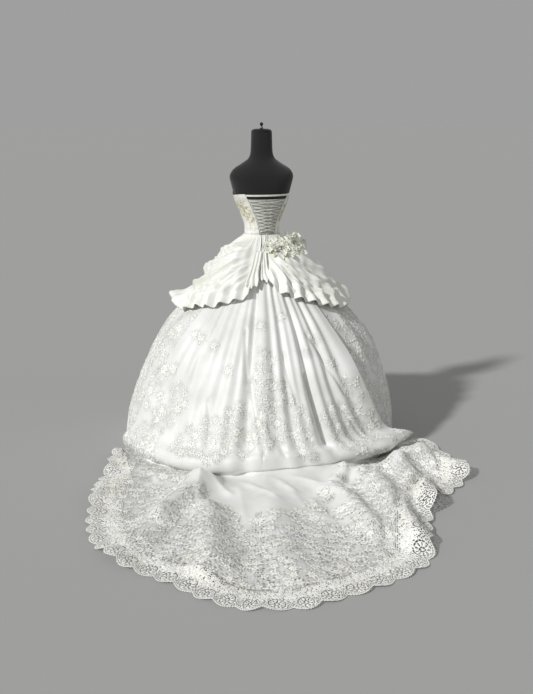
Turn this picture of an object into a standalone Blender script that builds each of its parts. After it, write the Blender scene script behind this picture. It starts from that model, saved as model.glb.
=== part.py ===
"""A strapless laced wedding gown with a train, standing on a limbless dress form.

The gown opens at the centre back, which faces -Y. Bodice angles are measured from there, and skirt angles
from the middle of the train, which is swept to the left of the lacing. Both grow towards the right as seen
from behind.
"""

import math

import bmesh
import bpy
import numpy as np
from mathutils import Vector
from mathutils.bvhtree import BVHTree

# Driving sizes, in metres and degrees.
TRAIN_SWING = -22.0
CLOTH_WALL = 0.002
LACE_WALL = 0.0016
SEAM_GAP = 0.0004
BODICE_SEAM_GAP = 0.0010
BACK_SEAM_GAP = 0.0010
BORDER_SEAM_GAP = 0.0020
FLOOR_GAP = 0.0006
WAIST_HEIGHT = 1.0515
WAIST_RADIUS = 0.085
OPENING_RADIUS = 0.095
HIP_RADIUS = 0.20

BODICE_LIFT = 0.0044
BODICE_BOTTOM = 1.052
MODESTY_LIFT = 0.0018
MODESTY_WALL = 0.001
MODESTY_TUCK = 5.0

LOOP_COUNT = 10
LOOP_REACH = 0.0065
LOOP_CORD = 0.0012
LOOP_LIFT = 0.0002
LACE_CORD = 0.0015
LACE_CROSSING = 0.0008
LACE_END_LIFT = 0.0025
LACING_TOP = 1.232
LACING_BOTTOM = 1.062
RIBBON_DROP = 0.011

BACK_LIFT = 0.006
OVERSKIRT_LIFT = 0.013
LAP = 3.0
GORE_COLUMNS = 17
BORDER_WIDTH = 0.14
BORDER_END_WIDTH = 0.03
SCALLOPS = 42
SCALLOP_COLUMNS = 4
SCALLOP_DEPTH = 0.022
RUFFLE_WAVES = 36
RUFFLE_DEPTH = 0.012
GATHERS = 36
GATHER_DEPTH = 0.0015

BASE_RADIUS = 0.21
BASE_HEIGHT = 0.028
POLE_RADIUS = 0.0175
TORSO_BOTTOM = 0.78


def table(columns, *rows):
    """Named columns, one array for each, with the row's number in the column called row."""
    named = {name: np.array([row[i] for row in rows]) for i, name in enumerate(columns.split())}
    named["row"] = np.arange(len(rows), dtype=float)
    return named


# Half width and depths of the form's sections.
TORSO = table(
    "height side back front",
    (0.780, 0.146, 0.118, 0.110),
    (0.860, 0.152, 0.122, 0.114),
    (0.930, 0.142, 0.116, 0.106),
    (1.000, 0.106, 0.094, 0.086),
    (1.052, 0.0835, 0.0790, 0.0765),
    (1.090, 0.0840, 0.0785, 0.0780),
    (1.145, 0.1000, 0.0850, 0.0900),
    (1.200, 0.1230, 0.0930, 0.1020),
    (1.250, 0.1430, 0.0990, 0.1080),
    (1.300, 0.1580, 0.1030, 0.1020),
    (1.340, 0.1680, 0.0990, 0.0880),
    (1.375, 0.1500, 0.0840, 0.0700),
    (1.405, 0.1020, 0.0660, 0.0560),
    (1.430, 0.0660, 0.0540, 0.0500),
    (1.460, 0.0560, 0.0500, 0.0480),
    (1.560, 0.0520, 0.0480, 0.0470),
)
FORM_LEVELS = (0.78, 0.87, 0.95, 1.0, 1.052, 1.07, 1.09, 1.115, 1.145, 1.18, 1.22, 1.255, 1.29,
               1.32, 1.345, 1.37, 1.39, 1.41, 1.435, 1.47, 1.56)
BODICE_LEVELS = (1.22, 1.18, 1.145, 1.115, 1.09, 1.07, 1.052)
CUP_ANGLE, CUP_HEIGHT, CUP_WIDTH = 142.0, 1.245, 0.052
CUP_RISE, FORM_CUP_RISE = 0.020, 0.011

# Top edge of the bodice, and its seams from the centre back.
NECKLINE = table(
    "angle height",
    (0.0, 1.256), (50.0, 1.256), (78.0, 1.252), (100.0, 1.249), (122.0, 1.262), (142.0, 1.292),
    (160.0, 1.284), (180.0, 1.264),
)
BODICE_SEAMS = table(
    "top waist",
    (50.0, 27.0),
    (74.0, 56.0),
    (100.0, 96.0),
    (143.0, 146.0),
)

# Sections of the ball skirt, from the waist to the floor.
BALL = table(
    "height left right back front",
    (WAIST_HEIGHT, 0.0865, 0.0865, 0.0865, 0.0865),
    (1.025, 0.108, 0.111, 0.110, 0.106),
    (0.985, 0.152, 0.158, 0.158, 0.150),
    (0.930, 0.205, 0.212, 0.213, 0.205),
    (0.870, 0.252, 0.260, 0.262, 0.252),
    (0.800, 0.300, 0.310, 0.318, 0.305),
    (0.720, 0.382, 0.394, 0.402, 0.386),
    (0.620, 0.483, 0.494, 0.490, 0.470),
    (0.500, 0.560, 0.584, 0.566, 0.545),
    (0.380, 0.613, 0.630, 0.613, 0.595),
    (0.260, 0.660, 0.662, 0.652, 0.635),
    (0.140, 0.697, 0.680, 0.684, 0.660),
    (0.060, 0.712, 0.688, 0.700, 0.672),
    (0.004, 0.722, 0.700, 0.712, 0.684),
)
# Free edges of the back panel, by height.
BACK_EDGES = table(
    "height left right",
    (0.0, -68.0, 72.0), (0.10, -65.0, 60.0), (0.30, -61.0, 50.5), (0.45, -54.0, 46.5), (0.70, -46.0, 44.0),
    (1.06, -40.0, 40.0),
)
FRONT_SEAM = 132.0
# Grooves between the flutes of the back panel, by the share of the way from its middle to its edge.
FLUTES = table(
    "share upper lower width",
    (-0.85, 0.004, 0.016, 0.045),
    (-0.73, 0.006, 0.014, 0.050),
    (-0.60, 0.008, 0.018, 0.060),
    (-0.44, 0.006, 0.012, 0.050),
    (-0.34, 0.010, 0.020, 0.055),
    (-0.21, 0.006, 0.014, 0.040),
    (-0.10, 0.022, 0.042, 0.050),
    (0.12, 0.008, 0.018, 0.045),
    (0.24, 0.014, 0.026, 0.045),
    (0.34, 0.006, 0.014, 0.040),
    (0.46, 0.020, 0.038, 0.050),
    (0.58, 0.008, 0.016, 0.040),
    (0.68, 0.016, 0.024, 0.045),
    (0.83, 0.010, 0.018, 0.050),
)
SIDE_FLUTES, FRONT_FLUTES, PLAIN_FLUTE_DEPTH = 5, 7, 0.013
SIDE_COLUMNS, FRONT_COLUMNS = 13, 16
EDGE_RAISE = 0.030
# Where the ball breaks over its foot: its widest point there, the tuck under it, and the roll before it.
FOOT = table(
    "angle bulge bulge_height tuck tuck_height roll roll_rise",
    (-90.0, 0.752, 0.070, 0.732, 0.010, 0.80, 0.004),
    (-60.0, 0.760, 0.060, 0.732, 0.010, 0.82, 0.010),
    (-32.0, 0.762, 0.055, 0.722, 0.010, 0.84, 0.020),
    (-12.0, 0.752, 0.062, 0.716, 0.014, 0.80, 0.038),
    (0.0, 0.722, 0.075, 0.710, 0.036, 0.78, 0.062),
    (15.0, 0.716, 0.080, 0.708, 0.044, 0.785, 0.072),
    (28.0, 0.722, 0.080, 0.708, 0.040, 0.81, 0.066),
    (42.0, 0.768, 0.084, 0.712, 0.024, 0.87, 0.040),
    (55.0, 0.812, 0.090, 0.722, 0.014, 0.92, 0.046),
    (68.0, 0.820, 0.100, 0.724, 0.010, 0.90, 0.030),
    (82.0, 0.760, 0.080, 0.720, 0.010, 0.82, 0.004),
)
ROLL_WIDTH = 0.052
# The four rows over the foot: how far each has swept to the floor's angle, how far it reaches past the tuck,
# and its level off the widest point.
FOOT_SWEEP = (0.35, 0.6, 0.85, 1.0)
FOOT_REACH = (0.75, 1.0, 0.7, 0.0)
FOOT_LEVEL = (0.030, 0.0, -0.028, 0.0)
# Folds of the train: both ends of each crest on the floor, seen along the train, its half width and its rise.
TRAIN_FOLDS = table(
    "x0 y0 x1 y1 width rise",
    (-0.250, -0.780, -0.400, -1.160, 0.070, 0.062),
    (-0.225, -1.120, -0.190, -1.640, 0.075, 0.050),
    (-0.420, -1.250, -0.560, -1.560, 0.080, 0.030),
    (-0.620, -0.760, -0.800, -1.040, 0.080, 0.028),
    (0.020, -0.960, 0.120, -1.640, 0.090, 0.030),
    (0.330, -0.900, 0.440, -1.300, 0.060, 0.052),
    (0.505, -0.800, 0.600, -1.420, 0.070, 0.074),
    (0.640, -0.640, 0.740, -1.080, 0.065, 0.076),
    (0.690, -0.460, 0.930, -0.660, 0.078, 0.062),
    (-0.720, -0.420, -0.740, -0.560, 0.060, 0.030),
)
# Hem of the train round the axis.
TRAIN_HEM = table(
    "angle radius",
    (-68.0, 0.788), (-62.0, 0.812), (-57.0, 0.865), (-50.0, 0.956), (-43.6, 1.077), (-34.3, 1.295),
    (-28.8, 1.456), (-24.0, 1.583),
    (-17.9, 1.701), (-13.4, 1.746), (-9.1, 1.814), (-5.4, 1.894), (-1.2, 1.942), (3.8, 1.940),
    (8.2, 1.886), (13.2, 1.828), (16.9, 1.780), (21.7, 1.700), (25.6, 1.540), (30.1, 1.385),
    (38.7, 1.245), (53.8, 1.180),
    (62.6, 1.060), (72.0, 0.910), (80.0, 0.820),
)
TRAIN_ROWS = (0.17, 0.36, 0.56, 0.78, 1.0)
BORDER_ROWS = (0.0, 0.55, 0.74, 1.0)
HOLE_ROW = 1
HOLE_COLUMNS = (0, 2)

# Hem of the overskirt round the axis, and the folds that fan out from the gathers at the centre back.
OVERSKIRT_HEM = table(
    "angle height",
    (-180.0, 0.735), (-150.0, 0.715), (-120.0, 0.720), (-95.0, 0.690), (-80.0, 0.676), (-64.0, 0.680),
    (-50.0, 0.711), (-38.0, 0.718), (-28.0, 0.738), (-20.0, 0.751), (-10.0, 0.775), (0.0, 0.850),
    (4.5, 0.851), (12.0, 0.800), (20.0, 0.776), (29.0, 0.755), (37.0, 0.741), (46.0, 0.722),
    (56.0, 0.705), (75.0, 0.682),
    (100.0, 0.692), (130.0, 0.720), (160.0, 0.715), (180.0, 0.735),
)
OVERSKIRT_FOLDS = table(
    "angle0 height0 angle1 height1 width rise",
    (-8.0, 1.010, -86.0, 0.955, 0.030, 0.016),
    (-8.0, 0.990, -80.0, 0.868, 0.032, 0.032),
    (-8.0, 0.965, -74.0, 0.784, 0.026, 0.028),
    (-10.0, 0.930, -60.0, 0.735, 0.028, 0.022),
    (-11.0, 0.890, -42.0, 0.740, 0.026, 0.016),
    (-76.0, 0.700, -98.0, 0.680, 0.042, 0.050),
    (8.0, 0.990, 34.0, 0.800, 0.026, 0.018),
    (12.0, 1.000, 66.0, 0.740, 0.028, 0.034),
    (30.0, 0.990, 84.0, 0.850, 0.034, 0.046),
    (28.0, 1.020, 88.0, 0.965, 0.034, 0.056),
    (60.0, 0.900, 96.0, 0.700, 0.038, 0.036),
    (7.0, 0.930, 20.0, 0.800, 0.022, 0.014),
    (128.0, 0.980, 168.0, 0.780, 0.040, 0.022),
    (-128.0, 0.980, -168.0, 0.780, 0.040, 0.022),
    (176.0, 0.990, 184.0, 0.760, 0.040, 0.020),
)
SWAG_END = 112.0
FOLD_GATHER = 0.45
# The two waterfall tails below the flowers.
TAILS = (
    dict(name="overskirt_tail_left", angles=(-4.0, -9.0), heights=(0.955, 0.815),
         widths=(0.030, 0.052), lift=0.024),
    dict(name="overskirt_tail_right", angles=(2.0, 4.0), heights=(0.960, 0.845),
         widths=(0.026, 0.040), lift=0.020),
)
TAIL_PLEATS, TAIL_PLEAT_DEPTH = 2.5, 0.006

# The two tied ends of the lacing: their route over the waist seam and down the overskirt.
LACE_ENDS = (
    dict(name="lace_end_left", angles=(11.0, 8.0, 4.5, 1.0, -2.0, -3.5),
         heights=(1.044, 1.025, 1.005, 0.988, 0.972, 0.960)),
    dict(name="lace_end_right", angles=(16.0, 14.0, 10.5, 7.0, 4.5, 3.5),
         heights=(1.044, 1.028, 1.012, 0.997, 0.984, 0.974)),
)
LACE_END_START_HEIGHT = 1.060
# Cloth flowers, by their place on the overskirt.
ROSES = (
    dict(name="rose_middle", angle=20.0, height=0.978, size=0.043),
    dict(name="rose_low", angle=45.0, height=0.952, size=0.044),
    dict(name="rose_upper", angle=46.0, height=0.992, size=0.034),
    dict(name="rose_side", angle=70.0, height=0.986, size=0.038),
)
LEAVES = (
    dict(name="leaf_low", angle=30.0, height=0.935, length=0.070, width=0.030, turn=-110.0),
    dict(name="leaf_side", angle=92.0, height=0.980, length=0.066, width=0.028, turn=40.0),
)
BUDS = (
    dict(name="bud_upper", angle=60.0, height=1.000, size=0.011),
    dict(name="bud_low", angle=16.0, height=0.940, size=0.010),
)
ROSE_TURNS, ROSE_COLUMNS, ROSE_WALL = 2.4, 20, 0.0012
FLOWER_GAP = 0.0005

FINISHES = {
    "ivory_satin": ((0.78, 0.78, 0.74, 1.0), 0.38, 0.0),
    "ivory_organza": ((0.80, 0.81, 0.79, 1.0), 0.45, 0.0),
    "ivory_lace": ((0.74, 0.75, 0.71, 1.0), 0.75, 0.0),
    "white_cord": ((0.80, 0.80, 0.78, 1.0), 0.45, 0.0),
    "cloth_flower": ((0.78, 0.79, 0.72, 1.0), 0.5, 0.0),
    "black_jersey": ((0.012, 0.012, 0.013, 1.0), 0.85, 0.0),
    "black_gloss": ((0.015, 0.015, 0.016, 1.0), 0.2, 0.0),
    "black_iron": ((0.03, 0.03, 0.032, 1.0), 0.45, 0.8),
}


def column_at(data, column, key, at):
    """Read a column where its key column has the given values, on a smooth curve that never overshoots."""
    keys, values = data[key], data[column]
    steps = np.diff(values) / np.diff(keys)
    product = steps[:-1] * steps[1:]
    total = np.where(product > 0, steps[:-1] + steps[1:], 1.0)
    inner = np.where(product > 0, 2 * product / total, 0.0)
    slopes = np.concatenate([steps[:1], inner, steps[-1:]])
    at = np.clip(at, keys[0], keys[-1])
    i = np.clip(np.searchsorted(keys, at) - 1, 0, len(keys) - 2)
    width = keys[i + 1] - keys[i]
    s = (at - keys[i]) / width
    return (values[i] * (1 + 2 * s) * (1 - s) ** 2 + values[i + 1] * s * s * (3 - 2 * s)
            + width * (slopes[i] * s * (1 - s) ** 2 - slopes[i + 1] * s * s * (1 - s)))


def ease(low, high, at):
    """Rise smoothly from 0 at low to 1 at high."""
    s = np.clip((at - low) / (high - low), 0.0, 1.0)
    return s * s * (3 - 2 * s)


def polar(angle, radius, height):
    """Points round the axis, from an angle in degrees off -Y."""
    turn = np.radians(angle)
    return np.stack(np.broadcast_arrays(radius * np.sin(turn), -radius * np.cos(turn), height), -1)


def crest(points, line, width, gather=0.0):
    """1 on a line of points, falling away from it like a bell; it grows over its gathered start."""
    start, step = line[:-1], np.diff(line, axis=0)
    away = points[..., None, :] - start
    share = np.clip((away * step).sum(-1) / (step * step).sum(-1), 0, 1)
    distance = np.linalg.norm(away - share[..., None] * step, axis=-1)
    nearest = distance.argmin(-1)[..., None]
    along = (nearest + np.take_along_axis(share, nearest, -1))[..., 0] / len(step)
    bell = np.exp(-(distance.min(-1) / width) ** 2)
    return bell * (ease(0, gather, along) if gather else 1.0)


def make_materials():
    made = {}
    for name, (colour, roughness, metallic) in FINISHES.items():
        material = bpy.data.materials.new(name)
        material.use_nodes = True
        shader = material.node_tree.nodes["Principled BSDF"]
        shader.inputs["Base Color"].default_value = colour
        shader.inputs["Roughness"].default_value = roughness
        shader.inputs["Metallic"].default_value = metallic
        made[name] = material
    return made


def add_object(name, data, finish, parent=None):
    item = bpy.data.objects.new(name, data)
    gown.objects.link(item)
    data.materials.append(materials[finish])
    item.parent = parent
    return item


def add_cloth(name, points, finish, wall=CLOTH_WALL, parent=None, open_cell=None):
    """A sheet through a grid of points, columns to the right and rows down, as a wall behind them."""
    columns, rows = points.shape[:2]
    number = np.arange(columns * rows).reshape(columns, rows)
    faces = [(number[i, j], number[i, j + 1], number[i + 1, j + 1], number[i + 1, j])
             for i in range(columns - 1) for j in range(rows - 1) if not (open_cell and open_cell(i, j))]
    mesh = bpy.data.meshes.new(name)
    mesh.from_pydata(points.reshape(-1, 3).tolist(), [], [[int(n) for n in face] for face in faces])
    mesh.update()
    mesh.shade_smooth()
    item = add_object(name, mesh, finish, parent)
    shell = item.modifiers.new("wall", "SOLIDIFY")
    shell.thickness = wall
    shell.offset = -1.0
    return item


def add_loft(name, rings, finish, parent=None):
    """A closed body through rings of points, from the lowest to the highest."""
    body = bmesh.new()
    loops = [[body.verts.new(point) for point in ring] for ring in rings]
    for low, high in zip(loops, loops[1:]):
        for i in range(len(low)):
            k = (i + 1) % len(low)
            body.faces.new((low[i], low[k], high[k], high[i]))
    body.faces.new(loops[0][::-1])
    body.faces.new(loops[-1])
    mesh = bpy.data.meshes.new(name)
    body.to_mesh(mesh)
    body.free()
    mesh.shade_smooth()
    mesh.set_sharp_from_angle(angle=math.radians(50))
    return add_object(name, mesh, finish, parent)


def add_turned(name, profile, height, finish, steps=28):
    """A turned piece from its profile, radius and height, down its outer side."""
    mesh = bpy.data.meshes.new(name)
    edges = [(i, i + 1) for i in range(len(profile) - 1)]
    mesh.from_pydata([(radius, 0.0, level) for radius, level in profile], edges, [])
    item = add_object(name, mesh, finish)
    item.location.z = height
    turn = item.modifiers.new("turn", "SCREW")
    turn.steps = turn.render_steps = steps
    turn.use_merge_vertices = True
    turn.merge_threshold = 0.0001
    turn.use_smooth_shade = True
    return item


def add_cord(name, points, radius, finish, parent=None, bevel=2):
    curve = bpy.data.curves.new(name, "CURVE")
    curve.dimensions = "3D"
    curve.bevel_depth = radius
    curve.bevel_resolution = bevel
    curve.use_fill_caps = True
    spline = curve.splines.new("POLY")
    spline.points.add(len(points) - 1)
    for target, point in zip(spline.points, points):
        target.co = (*point, 1.0)
    return add_object(name, curve, finish, parent)


def torso_point(angle, height, lift=0.0, cup_rise=CUP_RISE):
    """The form's surface, or a layer lying over it: an ellipse at each height, with two cups in front."""
    turn = np.radians(angle)
    side = column_at(TORSO, "side", "height", height)
    depth = np.where(np.cos(turn) > 0, column_at(TORSO, "back", "height", height),
                     column_at(TORSO, "front", "height", height))
    x, y = side * np.sin(turn), -depth * np.cos(turn)
    normal = np.stack(np.broadcast_arrays(x / side**2, y / depth**2), -1)
    normal = normal / np.linalg.norm(normal, axis=-1, keepdims=True)
    from_cup = (np.abs(np.abs(angle) - CUP_ANGLE) * math.pi / 180 * side) ** 2 + (height - CUP_HEIGHT) ** 2
    out = lift + cup_rise * np.exp(-from_cup / CUP_WIDTH**2)
    return np.stack(np.broadcast_arrays(x + out * normal[..., 0], y + out * normal[..., 1], height), -1)


def build_form():
    angles = np.arange(0, 360, 18.0)
    signed = np.where(angles > 180, angles - 360, angles)
    rings = [torso_point(signed, np.full(len(signed), level), 0.0, FORM_CUP_RISE) for level in FORM_LEVELS]
    add_loft("form_torso", rings, "black_jersey")
    top = TORSO["height"][-1] + SEAM_GAP
    cap = [(0, 0.012), (0.030, 0.0115), (0.044, 0.008), (0.050, 0.003), (0.050, 0), (0, 0)]
    add_turned("form_neck_cap", cap, top, "black_gloss", 20)
    finial = [(0, 0.030), (0.006, 0.0285), (0.009, 0.023), (0.007, 0.016), (0.004, 0.011), (0.006, 0.004),
              (0.012, 0), (0, 0)]
    add_turned("form_finial", finial, top + 0.012 + SEAM_GAP, "black_gloss", 12)
    bottom = BASE_HEIGHT + SEAM_GAP
    length = TORSO_BOTTOM - SEAM_GAP - bottom
    bpy.ops.mesh.primitive_cylinder_add(vertices=20, radius=POLE_RADIUS, depth=length,
                                        location=(0, 0, bottom + length / 2))
    pole = bpy.context.object
    pole.name = "stand_pole"
    pole.data.materials.append(materials["black_iron"])
    for owner in pole.users_collection:
        owner.objects.unlink(pole)
    gown.objects.link(pole)
    foot = [(0, BASE_HEIGHT), (0.030, BASE_HEIGHT), (0.036, 0.021), (0.060, 0.016), (0.150, 0.011),
            (BASE_RADIUS - 0.008, 0.008), (BASE_RADIUS, 0.004), (BASE_RADIUS, 0), (0, 0)]
    add_turned("stand_base", foot, 0, "black_iron", 28)


def seam_angle(index, height):
    """Angle of a bodice seam, which runs in towards the waist."""
    share = np.clip((height - BODICE_BOTTOM) / (NECKLINE["height"][0] - BODICE_BOTTOM), 0, 1)
    return BODICE_SEAMS["waist"][index] + (BODICE_SEAMS["top"][index] - BODICE_SEAMS["waist"][index]) * share


def bodice_panel(name, start, end, side, columns=5):
    """One panel between two seams; side is -1 for the left, 1 for the right and 0 for the front."""
    share = np.linspace(0, 1, columns + 1)[:, None]
    levels = np.concatenate([[0.0], BODICE_LEVELS])[None, :]

    def span(height):
        first = seam_angle(start, height)
        last = 360 - first if end is None else seam_angle(end, height)
        inset = np.degrees(BODICE_SEAM_GAP / 2 / WAIST_RADIUS)
        return first + inset + (last - first - 2 * inset) * share

    guess = span(np.full((1, levels.shape[1]), BODICE_LEVELS[0]))
    folded = np.where(guess > 180, 360 - guess, guess)
    height = np.where(levels > 0, levels, column_at(NECKLINE, "height", "angle", folded))
    angle = span(height)
    if side < 0:
        angle, height = -angle[::-1], height[::-1]
    signed = np.where(angle > 180, angle - 360, angle)
    add_cloth(name, torso_point(signed, height, BODICE_LIFT), "ivory_satin")


def build_bodice():
    for side, word in ((-1, "left"), (1, "right")):
        bodice_panel(f"bodice_back_{word}", 0, 1, side)
        bodice_panel(f"bodice_side_back_{word}", 1, 2, side)
        bodice_panel(f"bodice_side_front_{word}", 2, 3, side)
    bodice_panel("bodice_front", 3, None, 0, 7)

    top = LACING_TOP - 0.002
    height = np.array([top] + [level for level in BODICE_LEVELS if level < top])[None, :]
    reach = seam_angle(0, height) + MODESTY_TUCK
    angle = np.linspace(-1, 1, 11)[:, None] * reach
    add_cloth("modesty_panel", torso_point(angle, height, MODESTY_LIFT), "ivory_lace", MODESTY_WALL)


def build_lacing():
    """Loops along both back edges, two strands that cross between them, and the ribbon over the opening."""
    spacing = (LACING_TOP - LACING_BOTTOM) / LOOP_COUNT
    lift = BODICE_LIFT + LOOP_LIFT
    wave = np.linspace(0, LOOP_COUNT, LOOP_COUNT * 3 + 1)
    height = LACING_TOP - spacing * wave
    reach = SEAM_GAP + LOOP_CORD + LOOP_REACH * (0.5 - 0.5 * np.cos(2 * math.pi * wave))
    for side, word in ((-1, "left"), (1, "right")):
        angle = side * (seam_angle(0, height) - np.degrees(reach / OPENING_RADIUS))
        add_cord(f"loop_tape_{word}", torso_point(angle, height, lift), LOOP_CORD, "white_cord", bevel=0)

    over = lift + LOOP_CORD + SEAM_GAP + LACE_CORD
    legs, steps = LOOP_COUNT - 1, 4
    walk = np.linspace(0, legs, legs * steps + 1)
    height = LACING_TOP - spacing * (walk + 0.5)
    inset = np.degrees((SEAM_GAP + LOOP_CORD + LOOP_REACH) / OPENING_RADIUS)
    across = 1 - 2 * np.abs(np.mod(walk, 2) - 1)
    middle = np.exp(-((np.mod(walk, 1) - 0.5) / 0.22) ** 2)
    rise = (2 * LACE_CORD + LACE_CROSSING) * middle
    for first, word in ((-1, "left"), (1, "right")):
        angle = -first * across * (seam_angle(0, height) - inset)
        upper = np.where(np.floor(walk) % 2 == (first > 0), rise, 0.0)
        route = torso_point(angle, height, over + upper)
        add_cord(f"lacing_strand_{word}", route, LACE_CORD, "white_cord", bevel=1)

    top = NECKLINE["height"][0]
    height = np.array([top - 0.002, top - RIBBON_DROP])[None, :]
    angle = np.linspace(-1, 1, 11)[:, None] * (seam_angle(0, height) - np.degrees(SEAM_GAP / OPENING_RADIUS))
    add_cloth("lacing_top_ribbon", torso_point(angle, height, BODICE_LIFT), "ivory_satin")


def ball_section(angle, row):
    """Radius and height of the ball skirt at a row of its table, which may lie between two."""
    turn = np.radians(angle)
    left, right, back, front = (column_at(BALL, name, "row", row)
                                for name in ("left", "right", "back", "front"))
    side = np.where(np.sin(turn) < 0, left, right)
    along = np.where(np.cos(turn) > 0, back, front)
    share = np.sin(turn) ** 2
    return side * share + along * (1 - share), column_at(BALL, "height", "row", row)


def ball_point(angle, row, out):
    """A point of the ball skirt, moved out square to its profile."""
    angle, row, out = np.broadcast_arrays(angle, row, out)
    radius, height = ball_section(angle, row)
    step = 0.15
    radius_low, height_low = ball_section(angle, np.minimum(row + step, BALL["row"][-1]))
    radius_high, height_high = ball_section(angle, np.maximum(row - step, 0))
    run, fall = radius_low - radius_high, height_high - height_low
    length = np.hypot(run, fall)
    return polar(angle, radius + out * fall / length, height + out * run / length)


def ball_row(height):
    """The row at a height."""
    return np.interp(-np.asarray(height), -BALL["height"], BALL["row"])


def layer_lift(lift, row):
    """Layers lie close together at the waist seam and part below it."""
    return lift * (0.4 + 0.6 * ease(0, 2, row))


def floor_height(points):
    """Height of the train's cloth over the floor: its low folds, and the roll before the ball's foot."""
    angle = np.degrees(np.arctan2(points[..., 0], -points[..., 1]))
    radius = np.hypot(points[..., 0], points[..., 1])
    crest_radius = column_at(FOOT, "roll", "angle", angle)
    roll = column_at(FOOT, "roll_rise", "angle", angle) * np.exp(-((radius - crest_radius) / ROLL_WIDTH) ** 2)
    height = CLOTH_WALL + FLOOR_GAP + roll
    for i in range(len(TRAIN_FOLDS["row"])):
        fold = {name: values[i] for name, values in TRAIN_FOLDS.items()}
        line = np.array([(fold["x0"], fold["y0"]), (fold["x1"], fold["y1"])])
        height = height + fold["rise"] * crest(points[..., :2], line, fold["width"])
    return height


def hem_line(share):
    """Points on the train's hem, from -1 at its left end to 1 at its right, and the way out from each."""
    angle = np.linspace(TRAIN_HEM["angle"][0], TRAIN_HEM["angle"][-1], 721)
    line = polar(angle, column_at(TRAIN_HEM, "radius", "angle", angle), 0)[:, :2]
    length = np.concatenate([[0], np.cumsum(np.linalg.norm(np.diff(line, axis=0), axis=1))])
    middle = np.interp(0, angle, length)
    at = np.interp(share, (-1, 0, 1), (0, middle, length[-1]))
    step = 0.04
    point, ahead, behind = (np.stack([np.interp(at + shift, length, line[:, k]) for k in (0, 1)], -1)
                            for shift in (0, step, -step))
    along = ahead - behind
    out = np.stack([along[..., 1], -along[..., 0]], -1)
    return point, out / np.linalg.norm(out, axis=-1, keepdims=True)


def border_width(share):
    return BORDER_END_WIDTH + (BORDER_WIDTH - BORDER_END_WIDTH) * ease(0, 0.22, 1 - np.abs(share))


def border_seam():
    """Where the lace border is sewn to the train: its corners at the train's columns, with their shares."""
    corners = np.linspace(-1, 1, 2 * GORE_COLUMNS + 1)
    point, out = hem_line(corners)
    return point - out * border_width(corners)[:, None], corners


def back_flute(share, row):
    """How far the flutes of the back panel draw its cloth in."""
    depth = 0.0
    low = ease(5, 10, row)
    for i in range(len(FLUTES["row"])):
        bell = np.exp(-((share - FLUTES["share"][i]) / FLUTES["width"][i]) ** 2)
        depth = depth + bell * (FLUTES["upper"][i] * (1 - low) + FLUTES["lower"][i] * low)
    return depth * ease(2.5, 6.5, row)


def back_gore(name, share):
    """A back gore: down the ball, over its foot, and out along the floor to the lace border."""
    share = share[:, None]
    side = np.where(share < 0, "left", "right")
    rows = np.array([0, 1, 2, 3, 4.5, 6, 7, 8, 9, 10, 11.0])[None, :]
    height = column_at(BALL, "height", "row", rows)
    edge = np.where(side == "left", -column_at(BACK_EDGES, "left", "height", height),
                    column_at(BACK_EDGES, "right", "height", height))
    angle = edge * share
    raised = EDGE_RAISE * ease(0.75, 1, share) * ease(6.5, 9, rows)
    upper = ball_point(angle, rows, layer_lift(BACK_LIFT, rows) - back_flute(share, rows) + raised)

    last = angle[:, -1:]
    low_edge = np.where(share < 0, -BACK_EDGES["left"][0], BACK_EDGES["right"][0])
    foot_angle = last + (low_edge * share - last) * np.array(FOOT_SWEEP)[None, :]
    bulge, bulge_height, tuck, tuck_height = (column_at(FOOT, column, "angle", foot_angle)
                                              for column in ("bulge", "bulge_height", "tuck", "tuck_height"))
    reach = np.array(FOOT_REACH)
    radius = tuck + (bulge - tuck) * reach - 0.5 * back_flute(share, BALL["row"][-3])
    level = np.where(reach > 0, np.maximum(bulge_height + np.array(FOOT_LEVEL), tuck_height), tuck_height)
    foot = polar(foot_angle, radius, level)

    seam, corners = border_seam()
    start = foot[:, -1:, :2]
    end = np.stack([np.interp(share, corners, seam[:, k]) for k in (0, 1)], -1)
    along = start + (end - start) * np.array(TRAIN_ROWS)[None, :, None]
    falling = tuck_height[:, -1:] * (1 - ease(0, 0.3, np.array(TRAIN_ROWS)))[None, :]
    train = np.concatenate([along, np.maximum(floor_height(along), falling)[..., None]], -1)
    return add_cloth(name, np.concatenate([upper, foot, train], 1), "ivory_organza", parent=train_axis)


def plain_gore(name, first, last, columns, flutes):
    """A side or front gore, which hangs to the floor; its edges are given by functions of the height."""
    rows = np.array([0, 1, 2, 3, 4.5, 6, 7, 8, 9, 10, 11.5, 13.0])[None, :]
    height = column_at(BALL, "height", "row", rows)
    share = np.linspace(0, 1, columns + 1)[:, None]
    angle = first(height) + (last(height) - first(height)) * share
    wave = 0.5 - 0.5 * np.cos(2 * math.pi * flutes * share)
    out = -PLAIN_FLUTE_DEPTH * wave * ease(3, 8, rows)
    add_cloth(name, ball_point(angle, rows, out), "ivory_organza", parent=train_axis)


def build_ball_skirt():
    for word, side in (("left", -1), ("right", 1)):
        share = np.linspace(min(side, 0), max(side, 0), GORE_COLUMNS + 1)
        part_seam(back_gore(f"skirt_back_{word}", share), side)

    def back_edge(word, height):
        return column_at(BACK_EDGES, word, "height", height)

    inset = np.degrees(SEAM_GAP / HIP_RADIUS)
    near, far = FRONT_SEAM - inset, FRONT_SEAM + inset
    plain_gore("skirt_side_left", lambda h: -near + 0 * h, lambda h: back_edge("left", h) + LAP,
               SIDE_COLUMNS, SIDE_FLUTES)
    plain_gore("skirt_side_right", lambda h: back_edge("right", h) - LAP, lambda h: near + 0 * h,
               SIDE_COLUMNS, SIDE_FLUTES)
    plain_gore("skirt_front", lambda h: far + 0 * h, lambda h: 360 - far + 0 * h, FRONT_COLUMNS, FRONT_FLUTES)


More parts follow.
